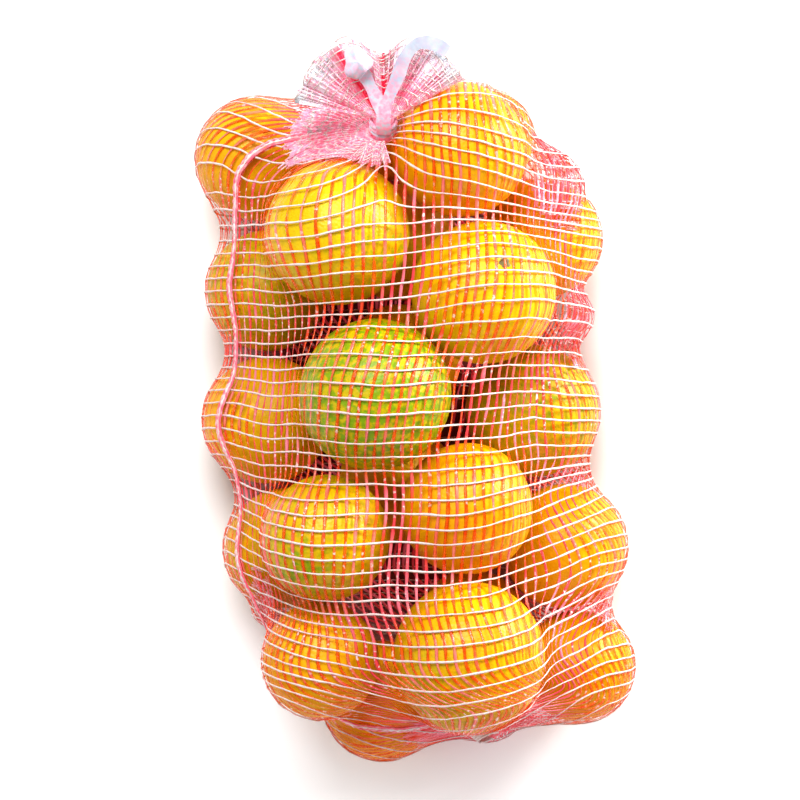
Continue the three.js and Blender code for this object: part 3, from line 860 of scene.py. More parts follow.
def frill_material():
    """The gathered net, so fine that it closes up: pale pink film with white threads, red folds, a
    white hem, painted shade that deepens the red in its pleat valleys and folds, and a slight glow
    that is painted light."""
    look = Look("frill_net")
    cloudy, _ = look.mottle(150.0, 3.0, 0.36, 0.64)
    specks, height = look.mottle(900.0, 2.0, 0.5, 0.62)
    colour = look.mix(cloudy, (1.0, 0.32, 0.48), (1.0, 0.66, 0.82))
    colour = look.mix(look.times(specks, 0.45), colour, (0.93, 0.12, 0.22))
    # Painted shade: a deeper red in the frill's pleat valleys and the gather's folds; on single strands
    # the same value is random tone
    colour = look.mix(look.times(look.attribute("valley_shade_and_tone"), 0.75), colour, (1.0, 0.16, 0.27))
    hem = look.times(look.attribute("hem"), look.plus(cloudy, 0.3), True)
    colour = look.mix(hem, colour, (0.84, 0.90, 0.97))
    threads = look.passing(look.attribute("threads"), 0.22)
    colour = look.mix(look.times(threads, 0.7), colour, settings().white_thread)
    colour = look.mix(look.attribute("redness"), colour, (0.95, 0.012, 0.07))
    gaps = look.times(look.attribute("thin"), look.plus(look.times(specks, 0.4), 0.6))
    cover = look.maths("SUBTRACT", 1.0, gaps)
    look.bump(height, 0.0012, 0.8)
    # The frill glows a little: painted light that lifts its shaded pleats
    return look.finish(
        Base_Color=colour, Emission_Color=colour, Emission_Strength=0.22, Alpha=cover, Roughness=0.55
    )


def thread_material():
    """The net's crossways threads: soft white yarn, pinker where a tape shines through and in
    places."""
    looks, look = settings(), Look("net_thread")
    patches, _ = look.mottle(60.0, 3.0, 0.45, 0.8)
    _, fuzz = look.mottle(1500.0, 2.0, 0.3, 0.7)
    over_tape = look.passing(look.attribute("tapes"), 0.26)
    cast = look.plus(look.times(over_tape, 0.7), patches, True)
    cast = look.plus(cast, look.attribute("under"), True)
    colour = look.mix(cast, looks.white_thread, looks.pink_thread)
    look.bump(fuzz, 0.0004, 0.6)
    return look.finish(Base_Color=colour, Alpha=0.86, Roughness=0.6)


def seam_material():
    """The sewn seam: white stitches over red net."""
    look = Look("net_seam")
    patches, _ = look.mottle(220.0, 3.0, 0.42, 0.62)
    cast = look.plus(look.attribute("redness"), look.times(patches, 0.6), True)
    colour = look.mix(cast, settings().white_thread, (1.0, 0.16, 0.24))
    return look.finish(Base_Color=colour, Roughness=0.5)


def closing_material():
    """The closing tape: clear white plastic, painted a little darker and bluer in its folds as painted
    shade, with pink net in front of it low down."""
    look = Look("closing_tape_white")
    crease_shade, height = look.mottle(130.0, 3.0, 0.4, 0.65)
    specks, _ = look.mottle(420.0, 3.0, 0.36, 0.6)
    # Painted shade: darker blue grey in a mottle that stands for the folds
    colour = look.mix(crease_shade, (0.60, 0.66, 0.73), (0.46, 0.51, 0.64))
    parts = look.tree.nodes.new("ShaderNodeSeparateXYZ")
    low = look.tree.nodes.new("ShaderNodeMapRange")
    look.tree.links.new(look.place(), parts.inputs["Vector"])
    look.tree.links.new(parts.outputs["Y"], low.inputs["Value"])
    low.inputs["From Min"].default_value = 0.186
    low.inputs["From Max"].default_value = 0.158
    netted = look.times(specks, look.plus(look.times(low.outputs["Result"], 0.75), 0.1))
    colour = look.mix(netted, colour, (1.0, 0.30, 0.45))
    look.bump(height, 0.001, 0.5)
    return look.finish(Base_Color=colour, Roughness=0.4)


def button_material():
    """The stem buttons: dry grey green."""
    look = Look("stem_button")
    dry, height = look.mottle(500.0, 3.0, 0.4, 0.6)
    colour = look.mix(dry, (0.16, 0.21, 0.07), (0.30, 0.27, 0.16))
    look.bump(height, 0.0006, 0.7)
    return look.finish(Base_Color=colour, Roughness=0.8)


def floor_material():
    """A plain pale floor that glows a little away from the bag, painted light so that it stays white
    there, and is painted dark red brown under the bag, a painted shade."""
    look = Look("pale_floor")
    # Painted light: the floor glows away from the bag, lifting its shade and the bag's shadow
    glow = look.mix(look.attribute("away"), (0, 0, 0), (1, 1, 1))
    # Painted shade: dark red brown under the bag, for the shade inside it
    colour = look.mix(look.attribute("shade_beneath"), (0.9, 0.9, 0.9), (0.22, 0.05, 0.04))
    return look.finish(Base_Color=colour, Emission_Color=glow, Emission_Strength=0.5, Roughness=0.9)


# Pieces


def stem_turns(count):
    """Each orange's own axes as a matrix whose last column points to its stem. Most stems point down or
    aside."""
    chance = np.random.default_rng(11)
    way = chance.normal(size=(count, 3))
    way[:, 2] = -0.8 * np.abs(way[:, 2]) - 0.1
    way[STEM_UP] = STEM_WAY
    way = unit(way)
    side = unit(np.cross(way, chance.normal(size=(count, 3))))
    return np.stack([side, np.cross(way, side), way], -1)


def orange_points(oranges, turns, rings, round_steps):
    """Oranges as grids: from stem to blossom end by angle a, and round by angle b. The radius is the
    orange's own, a little less towards both ends, with a dimple at each, and waved by a few slow
    sines."""
    a = (np.pi * (np.arange(rings) + 0.5) / rings)[:, None]
    b = circle(round_steps)[None, :]
    way = np.stack([np.sin(a) * np.cos(b), np.sin(a) * np.sin(b), np.cos(a) + 0 * b], -1)
    phase = np.random.default_rng(5).uniform(0, 2 * np.pi, (len(oranges), 3, 1, 1))
    wave = np.sin(2 * b + phase[:, 0]) * np.sin(a) ** 2
    wave = wave + 0.7 * np.sin(3 * a + b + phase[:, 1])
    wave = wave + 0.5 * np.sin(5 * b + phase[:, 2]) * np.sin(a) ** 3
    shape = oranges[:, 3, None, None] * (1 - FLAT_ENDS * np.cos(a) ** 2) + 0.22 * wave - 0.4
    shape = shape - STEM_DIMPLE * np.exp(-((a / 0.15) ** 2)) - 1.0 * np.exp(-(((np.pi - a) / 0.1) ** 2))
    points = np.einsum("nij,abj->nabi", turns, way) * shape[..., None] + oranges[:, None, None, :3]
    return above_floor(points, FRUIT_FLOOR_CLEAR)


def grid_with_poles(points):
    """The points of closed grids and their two poles, with their quads and triangles."""
    count, rings, round_steps = points.shape[:3]
    poles = np.stack([points[:, 0].mean(1), points[:, -1].mean(1)], 1)
    index = np.arange(count * rings * round_steps).reshape(count, rings, round_steps)
    beside = np.roll(index, -1, 2)
    pole = index.size + np.arange(count * 2).reshape(count, 2, 1) + 0 * index[:, :2]
    top = np.stack([pole[:, 0], index[:, 0], beside[:, 0]], -1)
    bottom = np.stack([pole[:, 1], beside[:, -1], index[:, -1]], -1)
    whole = np.concatenate([points.reshape(-1, 3), poles.reshape(-1, 3)])
    return whole, ring_quads(index), np.concatenate([top, bottom]).reshape(-1, 3)


def make_oranges():
    """Both layers of fruit, each layer one piece."""
    net = whole_bag()
    table = np.array(LOWER_ORANGES + UPPER_ORANGES)
    turns = stem_turns(len(table))
    material = peel_material()
    lower = len(LOWER_ORANGES)
    for name, chosen, rings, steps in (
        ("oranges_lower", slice(0, lower), 44, 72),
        ("oranges_upper", slice(lower, None), 60, 96),
    ):
        points = orange_points(net["oranges"][chosen], turns[chosen], rings, steps)
        whole, quads, triangles = grid_with_poles(points)
        own = np.concatenate([np.repeat(table[chosen, 3:], times, 0) for times in (rings * steps, 2)])
        green = own[:, 1]
        for x, y, spread, strength in GREEN_PATCHES:
            near = np.exp(-((whole[:, 0] - x) ** 2 + (whole[:, 1] - y) ** 2) / spread**2)
            green = green + strength * near * (whole[:, 2] > 60)
        values = {"gold": own[:, 0], "green": np.clip(green, 0, 1)}
        net_piece(name, whole, quads, triangles, material, values)


def make_stem_buttons():
    """A dry five-pointed button in each stem dimple: its rim is r (1 + 0.28 cos 5b), and it rises in
    the middle."""
    oranges = whole_bag()["oranges"]
    turns = stem_turns(len(oranges))
    a = np.linspace(0.12, 1.0, 6)[:, None]
    b = circle(20)[None, :]
    out = 3.6 * a * (1 + 0.28 * a * np.cos(5 * b))
    rise = 1.9 * (1 - a**2) - 0.5 * a
    local = np.concatenate([
        np.stack([far * np.cos(b), far * np.sin(b), high + 0 * b], -1)
        for far, high in ((out, rise), (out[::-1], rise[::-1] - 1.2))
    ])
    level = oranges[:, 3, None, None] * (1 - FLAT_ENDS) - STEM_DIMPLE
    local = local[None] + np.stack([0 * level, 0 * level, level], -1)
    points = np.einsum("nij,nabj->nabi", turns, local) + oranges[:, None, None, :3]
    whole, quads, triangles = grid_with_poles(above_floor(points, FRUIT_FLOOR_CLEAR))
    net_piece("stem_buttons", whole, quads, triangles, button_material())


def strand_waves(strands, places, seed, slowest, fastest):
    """Slow smooth waves along strands, between about -1 and 1: a mean of four sines with drawn
    phases."""
    chance = np.random.default_rng(seed)
    place = np.arange(places)[None, :] / places
    total = np.zeros((strands, places))
    for speed in np.linspace(slowest, fastest, 4):
        total += np.sin(2 * np.pi * speed * place + chance.uniform(0, 2 * np.pi, (strands, 1)))
    return total / 2.2


def make_tapes():
    """The net's lengthways tapes: flat strands where the count of tapes passes each half, as wide as
    the room between them lets them be. Every second one is in the second piece."""
    looks, net = settings(), whole_bag()
    grid = net["body_grid"]
    material = tape_material()
    for number in range(2):
        levels = np.arange(looks.tapes // 2)[number::2] + 0.5
        points, normal, forward, pieces, _, room = level_strands(
            grid, net["body_normals"], net["tapes"], levels, grid[..., :0]
        )
        wide = looks.tape_width / MM * (1 + UNEVEN * folds(points, 61 + number, 40, 6))
        wide = np.clip(np.minimum(wide, 0.5 * room), 0.3, None) / 2
        roll = 0.5 * folds(points, 71 + number, 60, 9)[:, None]
        tilted = unit(normal + unit(np.cross(normal, forward)) * roll)
        strands = points - normal * TAPE_SINK, tilted, forward, pieces
        high = 0 * wide + TAPE_HALF_HEIGHT
        values = {
            "redness": np.clip(1.0 + 0.3 * folds(points, 81 + number, 120, 25), 0.7, 1),
            "loose": np.clip((slack_depth(points, net["oranges"]) - 4) / 6, 0, 1),
        }
        strand_piece(f"net_tapes_{number + 1}", strands, wide, high, material, values)


def make_threads():
    """The net's crossways threads: closed rings where the count of threads passes each whole number,
    that lie over the tapes and dip where they pass one."""
    looks, net = settings(), whole_bag()
    material = thread_material()
    low, high = np.ceil(net["threads"].min()), np.floor(net["threads"].max())
    for number in range(2):
        levels = np.arange(low + number, high + 0.5, 2) + 0.013
        points, normal, forward, pieces, carried, room = level_strands(
            net["body_grid"], net["body_normals"], net["threads"], levels, net["tapes"][..., None]
        )
        tapes = carried[:, 0]
        wide = looks.thread_width / MM / 2 * (1 + UNEVEN * folds(points, 91 + number, 30, 5))
        wide = np.clip(np.minimum(wide, 0.42 * room), 0.25, None)
        lifted = points + normal * (THREAD_LIFT + THREAD_WAVE * np.cos(2 * np.pi * tapes))[:, None]
        strands, values = (lifted, normal, forward, pieces), {"tapes": tapes}
        strand_piece(f"net_threads_{number + 1}", strands, wide, 0.6 * wide, material, values)


def make_seam():
    """The side seam: three cords side by side along the net's first line, with beads of stitching."""
    net = whole_bag()
    ends = slice(net["start"] + 1, net["end"] + 2)
    points = on_columns(net["grid"], net["seam"])[ends]
    normals = unit(on_columns(net["normals"], net["seam"]))[ends]
    place = np.arange((len(points) - 1) * 3 + 1) / 3
    low = np.minimum(place.astype(int), len(points) - 2)
    part = (place - low)[:, None]
    line = points[low] * (1 - part) + points[low + 1] * part
    normal = unit(normals[low] * (1 - part) + normals[low + 1] * part)
    across = unit(np.cross(normal, unit(np.gradient(line, axis=0))))
    walked = np.concatenate([[0], np.cumsum(np.linalg.norm(np.diff(line, axis=0), axis=1))])
    taper = np.clip(np.minimum(walked, walked[-1] - walked) / 25, 0.25, 1)
    aside, wide, stitch, redness = np.array(SEAM_CORDS)[..., None].transpose(1, 0, 2)
    beads = 0.5 + 0.5 * np.cos(2 * np.pi * walked / STITCH + stitch)
    offset = aside * taper + 0.5 * folds(line, 19, 60, 7)
    strands = line + across * offset[..., None] + normal * (0.7 + 0.3 * beads)[..., None]
    wide = (wide + 0.35 * beads + 0.15 * folds(strands, 20, 30, 5)) * taper
    swept_piece(
        "side_seam", strands, 0 * strands + normal, wide, 0.55 * wide, False,
        seam_material(), {"redness": redness + 0 * wide}, sides=6,
    )


def painted_pleat_shade(turn, share):
    """How deep in a pleat a place of the frill's upper side is, from 0 on its ridges to 1: share (1 -
    cos p) / 2. It sets the painted shade in the frill's pleat valleys."""
    angle = -np.cos(turn)
    wave = np.cos(np.pi * FAN_PLEATS * angle) * np.where(np.sin(turn) < 0, -1, 1)
    return share * (0.5 - 0.5 * wave)


def red_folds(turn, share):
    """Where the frill's red folds lie: two stripes and a blob at the hem, as bells over its angle and
    length."""
    angle = np.degrees(FAN_MIDDLE - FAN_HALF_ANGLE * np.cos(turn)) + 0 * share
    total = np.zeros(angle.shape)
    for middle, wide, low, high in RED_FOLDS:
        inside = ramp(share, low - 0.06, low + 0.06) * (1 - ramp(share, high - 0.06, high + 0.06))
        total = np.maximum(total, np.exp(-(((angle - middle) / wide) ** 2)) * inside)
    return total * (np.sin(turn) > -0.2)


def make_frill_sheet():
    """The frill's closed core: the fan at FRILL_CORE of its thickness, crumpled, and closed at its foot
    and across its hem."""
    count, rings = 240, 26
    turn = circle(count)[None, :]
    share = np.linspace(0.0, 0.97, rings)[:, None]
    crumple = folds(fan_surface(share + 0 * turn, turn + 0 * share), 17, 30, 5)
    points = fan_surface(share + 0.02 * share * crumple, turn + 0 * share, FRILL_CORE)
    points = points + fan_axes()[2] * (0.7 * crumple * share)[..., None]
    index = np.arange(rings * count).reshape(rings, count)
    beside = np.roll(index, -1, 1)
    quads = np.stack([index[:-1], beside[:-1], beside[1:], index[1:]], -1).reshape(-1, 4)
    side = np.arange(1, count // 2 - 1)
    hem = index[-1]
    across = np.stack([hem[side], hem[side + 1], hem[count - side - 1], hem[count - side]], -1)
    corners = [hem[[0, 1, -1]], hem[count // 2 + np.array((-1, 0, 1))]]
    foot = np.stack([np.full(count, index.size), beside[0], index[0]], -1)
    whole = np.concatenate([points.reshape(-1, 3), points[0].mean(0, keepdims=True)])
    values = {
        "threads": share * FRILL_THREADS + 0.35 * crumple,
        "redness": red_folds(turn, share),
        "hem": ramp(share, 0.45, 1.0) + 0 * turn,
        # Painted shade in the pleat valleys
        "valley_shade_and_tone": painted_pleat_shade(turn, share),
    }
    values = {key: np.append(value, 0) for key, value in values.items()}
    triangles = np.concatenate([foot, np.array(corners)])[:, ::-1]
    faces = np.concatenate([quads, across])[:, ::-1]
    net_piece("frill_core", whole, faces, triangles, frill_material(), values)


def make_frill_layers():
    """The frill's strands: on the fan itself and on two inner layers with their pleats shifted, tapes
    along it and threads across. The tapes of the first layer start in the neck."""
    turn = circle(FRILL_TAPES, 0.5)[:, None]
    share = np.linspace(0.0, 1.0, 26)[None, :]
    around = circle(180)[None, :]
    film, yarn = frill_material(), thread_material()
    right, up = neck_axes()
    upward = fan_axes()[2]
    along = np.linspace(-2.0, NECK_LENGTH, 6)[:-1]
    ring = (np.cos(turn) * right + np.sin(turn) * up) * NECK_RADIUS * 0.97
    neck = ring[:, None] + np.stack([neck_point(distance) for distance in along])[None]
    for number, (thick, phase, deep, reach) in enumerate(FRILL_LAYERS):
        chance = np.random.default_rng(40 + number)
        points = fan_surface(share * reach + 0 * turn, turn + 0 * share, thick, phase, deep)
        points = points + upward * (chance.normal(0, 0.35, (FRILL_TAPES, 1)) * share)[..., None]
        own_share = share
        if number == 0:
            points = np.concatenate([neck, points], 1)
            own_share = np.concatenate([0 * along[None], share], 1)
        size = points.shape[:2]
        values = {
            "redness": red_folds(turn, own_share),
            "threads": FRILL_THREADS * own_share + 0.3 * strand_waves(*size, 60 + number, 1, 3),
            "hem": ramp(own_share, 0.45, 1.0) + 0 * turn,
            "valley_shade_and_tone": chance.uniform(0.0, 1.0, (FRILL_TAPES, 1)) ** 2 + 0 * own_share,
        }
        outside = (0 * points + upward) * np.where(np.sin(turn) < 0, -1, 1)[..., None]
        swept_piece(
            f"frill_tapes_{number + 1}", points, outside, 0.25 + 0.4 * own_share + 0 * turn, 0.15, False,
            film, values, 0.5 * strand_waves(*size, 50 + number, 1, 4),
        )
        level = np.array(FRILL_LEVELS)[:, None] * reach
        slow, fast = np.sin(5 * around + number + 9 * level), np.sin(11 * around + 20 * level)
        level = level + 0.02 * slow + 0.015 * fast
        rings = fan_surface(level, around + 0 * level, thick + 0.06, phase, deep)
        outside = (0 * rings + upward) * np.where(np.sin(around) < 0, -1, 1)[..., None]
        swept_piece(
            f"frill_threads_{number + 1}", rings, outside, 0.34 + 0 * level, 0.26, True, yarn
        )


def closed_sheet(top, bottom):
    """Two grids of points, by row and place, joined into one thin closed sheet: both sides and the four
    edges."""
    rows, places = top.shape[:2]
    index = np.arange(rows * places).reshape(rows, places)
    upper = np.stack([index[:-1, :-1], index[1:, :-1], index[1:, 1:], index[:-1, 1:]], -1).reshape(-1, 4)
    rim = np.concatenate([index[0, :-1], index[:-1, -1], index[-1, :0:-1], index[:0:-1, 0]])
    edge = np.stack([rim, np.roll(rim, -1), np.roll(rim, -1) + index.size, rim + index.size], -1)
    whole = np.concatenate([top.reshape(-1, 3), bottom.reshape(-1, 3)])
    return whole, np.concatenate([upper, (upper + index.size)[:, ::-1], edge])


def read_along(lines, walked, want):
    """Lines of points read at wanted lengths along each, straight between the two points on either
    side."""
    low = np.clip((walked[:, None] <= want[..., None]).sum(-1) - 1, 0, lines.shape[1] - 2)
    strand = np.arange(len(lines))[:, None]
    part = ((want - walked[strand, low]) / (walked[strand, low + 1] - walked[strand, low]))[..., None]
    return lines[strand, low] * (1 - part) + lines[strand, low + 1] * part


def make_gather():
    """Net bunched up round the tie, on its left and under it: a thin closed sheet of fine net from the
    neck out over the fruit, pushed up in folds by (a + b sin(n t)) sin(pi share), with tapes along it
    and threads across."""
    net = whole_bag()
    columns = net["grid"].shape[1]
    count, places = GATHER_TAPES, 30
    chance = np.random.default_rng(77)
    degrees = np.linspace(*GATHER_ARC, count)
    turn = np.radians(degrees)
    column = turn / (2 * np.pi) * columns
    low = np.floor(column).astype(int)
    part = (column - low)[:, None, None]
    rows = slice(net["end"] - GATHER_ROWS, net["end"] + 1)
    sides = [net[key][rows][::-1].transpose(1, 0, 2) for key in ("grid", "normals")]
    lines, normals = [side[low] * (1 - part) + side[(low + 1) % columns] * part for side in sides]
    steps = np.linalg.norm(np.diff(lines, axis=1), axis=-1)
    walked = np.concatenate([np.zeros((count, 1)), np.cumsum(steps, 1)], 1)
    left = ramp(degrees, 98, 148)
    reach = GATHER_SHORT + GATHER_LONGER * left - 8 * ramp(degrees, 215, 250)
    reach = reach + 2 * np.sin(degrees / 3.7) * left + chance.normal(0, 1.6, count)
    reach = np.minimum(reach, walked[:, -1] - 1)[:, None]

    def lay(share, lift):
        """Places on the bunched net by their share of its reach, lifted off it, and the normals
        there."""
        line, normal = (read_along(side, walked, reach * share) for side in (lines, normals))
        normal = unit(normal)
        fold = 1.7 + 0.8 * np.sin(GATHER_FOLDS * turn)[:, None] + 0.5 * folds(line, 23, 22, 6)
        fold = fold * np.sin(np.pi * np.minimum(share * 1.1, 1))
        return line + normal * (fold + lift)[..., None], normal

    share = np.linspace(0, 1, places)[None, :] + 0 * reach
    whole, quads = closed_sheet(lay(share, 0.4)[0], lay(share, -0.2)[0])
    # Painted shade: deepest where the gather's folds dip
    valley_shade_and_tone = 0.75 - 0.25 * np.sin(GATHER_FOLDS * turn)[:, None] + 0 * share
    values = {"threads": GATHER_THREADS * share, "valley_shade_and_tone": valley_shade_and_tone, "thin": ramp(share, 0.6, 0.95)}
    values = {key: np.tile(value.ravel(), 2) for key, value in values.items()}
    net_piece("gather_core", above_floor(whole), quads, (), frill_material(), values)
    points, normal = lay(share, 0.55)
    values = {"threads": GATHER_THREADS * share, "valley_shade_and_tone": chance.uniform(0.2, 1, (count, 1)) + 0 * share}
    swept_piece(
        "gather_tapes", points, normal, 0.18 + 0.3 * np.sqrt(share), 0.12, False,
        frill_material(), values, 0.4 * strand_waves(count, places, 57, 1, 5),
    )
    level = np.array(GATHER_LEVELS)[None, :]
    level = level + 0.04 * np.sin(5 * turn[:, None] + 9 * level)
    rings, normal = (side.transpose(1, 0, 2) for side in lay(level, 0.85))
    wide = 0.42 + 0 * level.T
    swept_piece("gather_threads", rings, normal, wide, 0.3, False, thread_material())


def make_slack_folds():
    """Folds of loose net where it stands off the fruit: two more layers under the first, their strands
    between the first's, only near the slack places."""
    looks, net = settings(), whole_bag()
    grid, normals = net["body_grid"], net["body_normals"]
    near = np.full(grid.shape[:2], 9.0)
    for x, y, z, radius in SLACK + FOLD_PLACES:
        near = np.minimum(near, np.linalg.norm(grid - (x, y, z), axis=-1) / radius)
    depth = slack_depth(grid, net["oranges"])
    loose = (near < 1.3) & (depth > 2.0)
    film, yarn = tape_material(), thread_material()
    tape, thread = looks.tape_width / MM / 2, 0.7 * looks.thread_width / MM / 2
    for number, down in enumerate((2.6, 5.2)):
        layer = grid - normals * np.minimum(down, 0.75 * depth)[..., None]
        for key, other, material, slot, wide, high in (
            ("tapes", "threads", film, "net_mesh", tape, TAPE_HALF_HEIGHT),
            ("threads", "tapes", yarn, "thread", thread, 0.6 * thread),
        ):
            field = net[key] + 0.22 * folds(grid, 101 + number, 90, 30)
            levels = np.arange(np.ceil(field.min()), np.floor(field.max()), 0.72) + 0.35 + 0.3 * number
            points, normal, forward, pieces, carried, _ = level_strands(
                layer, normals, field, levels, np.stack([net[other], loose], -1)
            )
            pieces = pieces[(carried[pieces, 1] > 0.5).all(1)]
            kept, pieces = np.unique(pieces, return_inverse=True)
            strands = points[kept], normal[kept], forward[kept], pieces.reshape(-1, 2)
            values = {
                "redness": np.clip(0.55 + 0.6 * folds(points[kept], 111 + number, 40, 8), 0, 1),
                other: carried[kept, 0],
                "under": np.full(len(kept), 0.8),
            }
            wide, high = np.full(len(kept), wide), np.full(len(kept), high)
            strand_piece(f"slack_{key}_{number + 1}", strands, wide, high, material, values)


def make_closing_tape():
    """The wound tape keeps its solid's shape and gets its white plastic."""
    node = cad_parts["closing_tape"]
    node.data.materials.clear()
    node.data.materials.append(closing_material())


def make_foot_tie():
    """The thread wound round the knot at the foot: a helix that gets narrower outwards."""
    net = whole_bag()
    middle = net["grid"][net["start"]].mean(0)
    place = np.linspace(0, 1, FOOT_TURNS * 28 + 1)
    angle = 2 * np.pi * FOOT_TURNS * place
    side = unit(np.cross(FOOT_WAY, (0, 0, 1.0)))
    up = np.cross(side, FOOT_WAY)
    radius = FOOT_RADIUS - FOOT_TAPER * place * place + 0.25 * np.sin(7 * angle)
    out = np.cos(angle)[:, None] * side + np.sin(angle)[:, None] * up
    line = middle + FOOT_WAY * (0.4 + FOOT_LENGTH * place)[:, None] + out * radius[:, None]
    wide = np.full((1, len(line)), 0.85)
    swept_piece("foot_tie", line[None], out[None], wide, 0.7, False, thread_material(), sides=6)


def make_floor():
    """The pale floor: rings round the part that are flat on z = 0, closed in the middle."""
    turn = circle(FLOOR_SIDES)
    reach, away, shade_beneath = np.array(FLOOR_RINGS, float).T
    wide, long = FLOOR_HALF_SIZE
    x, y = wide * reach[:, None] * np.cos(turn), long * reach[:, None] * np.sin(turn)
    points = np.concatenate([np.stack([x, y, 0 * x], -1).reshape(-1, 3), [(0, 0, 0)]])
    index = np.arange(x.size).reshape(x.shape)
    middle = np.stack([np.full(FLOOR_SIDES, index.size), index[0], np.roll(index[0], -1)], -1)
    values = {
        key: np.append(np.repeat(value, FLOOR_SIDES), value[0])
        for key, value in (("away", away), ("shade_beneath", shade_beneath))
    }
    new_piece("floor", points, ring_quads(index), middle, floor_material(), values)


def make_lights():
    """The lights, each aimed at the middle of the bag, and a soft white sky."""
    looks = settings()
    for name, at, wide, high, setting, share in LIGHTS:
        lamp = bpy.data.lights.new(name, "AREA")
        lamp.shape = "RECTANGLE"
        lamp.size = wide * MM
        lamp.size_y = high * MM
        lamp.energy = share * getattr(looks, setting)
        holder = bpy.data.objects.new(name, lamp)
        bpy.context.scene.collection.objects.link(holder)
        holder.location = Vector(at) * MM
        aim = Vector((0, 0, AIM_HEIGHT)) - holder.location
        holder.rotation_euler = aim.to_track_quat("-Z", "Y").to_euler()
    world = bpy.data.worlds.new("soft_studio")
    world.use_nodes = True
    back = world.node_tree.nodes["Background"]
    back.inputs["Color"].default_value = (1, 1, 1, 1)
    back.inputs["Strength"].default_value = looks.sky_strength
    bpy.context.scene.world = world


def make_camera():
    """The camera at the photograph's viewpoint, straight above the bag, and how its picture is
    developed."""
    scene = bpy.context.scene
    lens = bpy.data.cameras.new("camera")
    lens.sensor_width = SENSOR_WIDTH
    lens.lens = SENSOR_WIDTH * (CAMERA_HEIGHT - VIEW_LEVEL) / VIEW_WIDTH
    lens.clip_start = 0.01
    lens.clip_end = 50
    camera = bpy.data.objects.new("camera", lens)
    camera.location = (CAMERA_X * MM, CAMERA_Y * MM, CAMERA_HEIGHT * MM)
    scene.collection.objects.link(camera)
    scene.camera = camera
    scene.view_settings.view_transform = "Standard"
    scene.view_settings.look = "Medium High Contrast"
    scene.view_settings.exposure = -0.25


# Add-on


def colour_property(name, description, value):
    """A colour setting in linear light."""
    return bpy.props.FloatVectorProperty(
        name=name, description=description, default=value, size=3, subtype="COLOR", min=0, max=1
    )


def number_property(name, description, value):
    """A plain setting, at least 0."""
    return bpy.props.FloatProperty(name=name, description=description, default=value, min=0)


def length_property(name, description, value):
    """A length setting in metres."""
    return bpy.props.FloatProperty(
        name=name, description=description, default=value, min=0, unit="LENGTH"
    )


class NetOfOrangesSettings(bpy.types.PropertyGroup):
    """Sizes and colours of the fruit, the net and the studio."""

    tapes: bpy.props.IntProperty(
        name="Tapes", description="Lengthways tapes round the net", default=104, min=24
    )
    tape_width: length_property("Tape width", "Width of a lengthways tape", 0.0017)
    tape_cover: bpy.props.FloatProperty(
        name="Tape cover", description="How much a tape hides", default=0.5,
        min=0, max=1, subtype="FACTOR",
    )
    thread_width: length_property("Thread width", "Width of a crossways thread", 0.00105)
    thread_spacing: length_property("Thread spacing", "From one crossways thread to the next", 0.0074)
    tie_squeeze: number_property("Tie squeeze", "How much closer the threads come at the tie", 1.5)
    deep_peel: colour_property("Deep peel", "Peel of the reddest fruit", (0.84, 0.31, 0.0))
    gold_peel: colour_property("Gold peel", "Peel of the yellowest fruit", (0.88, 0.60, 0.0))
    green_peel: colour_property("Green peel", "Unripe peel", (0.24, 0.39, 0.004))
    pore_peel: colour_property("Peel pores", "Oil pores in the peel", (0.68, 0.20, 0.0))
    red_tape: colour_property("Red tape", "Tape that lies on the fruit", (0.92, 0.05, 0.0))
    rose_tape: colour_property("Rose tape", "Lighter streaks in the tape", (1.0, 0.24, 0.02))
    hanging_tape: colour_property("Hanging tape", "Tape that hangs between oranges", (0.85, 0.07, 0.09))
    pale_tape: colour_property("Pale tape", "Tape in the frill", (1.0, 0.58, 0.76))
    white_thread: colour_property("White thread", "Crossways thread", (0.90, 0.81, 0.78))
    pink_thread: colour_property("Pink thread", "Thread with a cast of the tape", (0.95, 0.62, 0.62))
    key_power: number_property("Key light", "Power of the light at the head", 15.0)
    right_power: number_property("Right light", "Power of the light at the right", 14.0)
    fill_power: number_property("Fill light", "Power of the light at the left", 1.5)
    sky_strength: number_property("Sky", "Strength of the light all round", 0.25)


class NETOFORANGES_OT_oranges(bpy.types.Operator):
    """Lay the oranges in two layers"""

    bl_idname = "net_of_oranges.oranges"
    bl_label = "Oranges"

    def execute(self, context):
        make_oranges()
        return {"FINISHED"}


class NETOFORANGES_OT_buttons(bpy.types.Operator):
    """Put a stem button on each orange"""

    bl_idname = "net_of_oranges.stem_buttons"
    bl_label = "Stem buttons"

    def execute(self, context):
        make_stem_buttons()
        return {"FINISHED"}


class NETOFORANGES_OT_tapes(bpy.types.Operator):
    """Run the lengthways tapes over the fruit"""

    bl_idname = "net_of_oranges.net_tapes"
    bl_label = "Net tapes"

    def execute(self, context):
        make_tapes()
        return {"FINISHED"}


class NETOFORANGES_OT_threads(bpy.types.Operator):
    """Run the crossways threads round the fruit"""

    bl_idname = "net_of_oranges.net_threads"
    bl_label = "Net threads"

    def execute(self, context):
        make_threads()
        return {"FINISHED"}


class NETOFORANGES_OT_seam(bpy.types.Operator):
    """Sew the side seam"""

    bl_idname = "net_of_oranges.side_seam"
    bl_label = "Side seam"

    def execute(self, context):
        make_seam()
        return {"FINISHED"}


class NETOFORANGES_OT_slack(bpy.types.Operator):
    """Fold the loose net in layers"""

    bl_idname = "net_of_oranges.slack_folds"
    bl_label = "Slack folds"

    def execute(self, context):
        make_slack_folds()
        return {"FINISHED"}


class NETOFORANGES_OT_core(bpy.types.Operator):
    """Fill the frill with gathered net"""

    bl_idname = "net_of_oranges.frill_core"
    bl_label = "Frill core"

    def execute(self, context):
        make_frill_sheet()
        return {"FINISHED"}


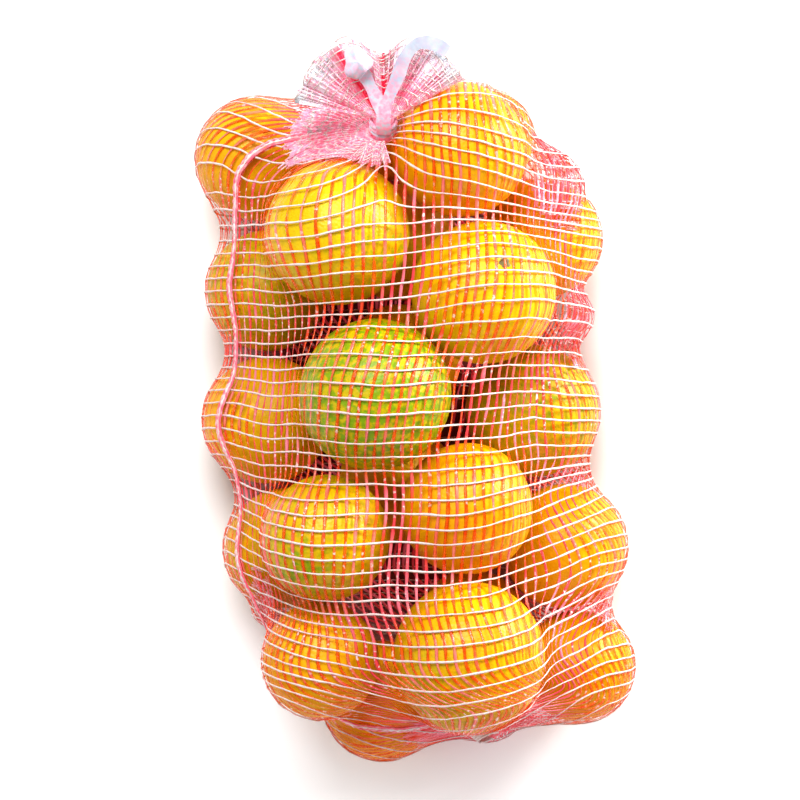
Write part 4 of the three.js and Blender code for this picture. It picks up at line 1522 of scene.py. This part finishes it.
class NETOFORANGES_OT_frill(bpy.types.Operator):
    """Gather the frill above the neck"""

    bl_idname = "net_of_oranges.frill"
    bl_label = "Frill"

    def execute(self, context):
        make_frill_layers()
        return {"FINISHED"}


class NETOFORANGES_OT_gather(bpy.types.Operator):
    """Bunch the net round the tie"""

    bl_idname = "net_of_oranges.gather"
    bl_label = "Gather"

    def execute(self, context):
        make_gather()
        return {"FINISHED"}


class NETOFORANGES_OT_closing(bpy.types.Operator):
    """Give the closing tape its plastic"""

    bl_idname = "net_of_oranges.closing_tape"
    bl_label = "Closing tape"

    def execute(self, context):
        make_closing_tape()
        return {"FINISHED"}


class NETOFORANGES_OT_foot(bpy.types.Operator):
    """Wind the thread round the foot knot"""

    bl_idname = "net_of_oranges.foot_tie"
    bl_label = "Foot tie"

    def execute(self, context):
        make_foot_tie()
        return {"FINISHED"}


class NETOFORANGES_OT_stage(bpy.types.Operator):
    """Set the floor, the lights and the camera"""

    bl_idname = "net_of_oranges.studio"
    bl_label = "Studio"

    def execute(self, context):
        make_floor()
        make_lights()
        make_camera()
        return {"FINISHED"}


OPERATORS = (
    NETOFORANGES_OT_oranges,
    NETOFORANGES_OT_buttons,
    NETOFORANGES_OT_tapes,
    NETOFORANGES_OT_threads,
    NETOFORANGES_OT_seam,
    NETOFORANGES_OT_slack,
    NETOFORANGES_OT_core,
    NETOFORANGES_OT_frill,
    NETOFORANGES_OT_gather,
    NETOFORANGES_OT_closing,
    NETOFORANGES_OT_foot,
    NETOFORANGES_OT_stage,
)


class NETOFORANGES_PT_panel(bpy.types.Panel):
    """Lists the makers and their settings."""

    bl_label = "Net of oranges"
    bl_idname = "NETOFORANGES_PT_panel"
    bl_space_type = "VIEW_3D"
    bl_region_type = "UI"
    bl_category = "Net of oranges"

    def draw(self, context):
        for operator in OPERATORS:
            self.layout.operator(operator.bl_idname)
        for name in NetOfOrangesSettings.__annotations__:
            self.layout.prop(context.scene.net_of_oranges, name)


CLASSES = (NetOfOrangesSettings, *OPERATORS, NETOFORANGES_PT_panel)


def register():
    """Adds the settings, the operators and the panel."""
    for each in CLASSES:
        bpy.utils.register_class(each)
    bpy.types.Scene.net_of_oranges = bpy.props.PointerProperty(type=NetOfOrangesSettings)


def unregister():
    """Takes them away again."""
    del bpy.types.Scene.net_of_oranges
    for each in reversed(CLASSES):
        bpy.utils.unregister_class(each)


def main():
    """Makes everything in order."""
    register()
    for operator in OPERATORS:
        getattr(bpy.ops.net_of_oranges, operator.bl_idname.partition(".")[2])()


if __name__ == "__main__":
    main()
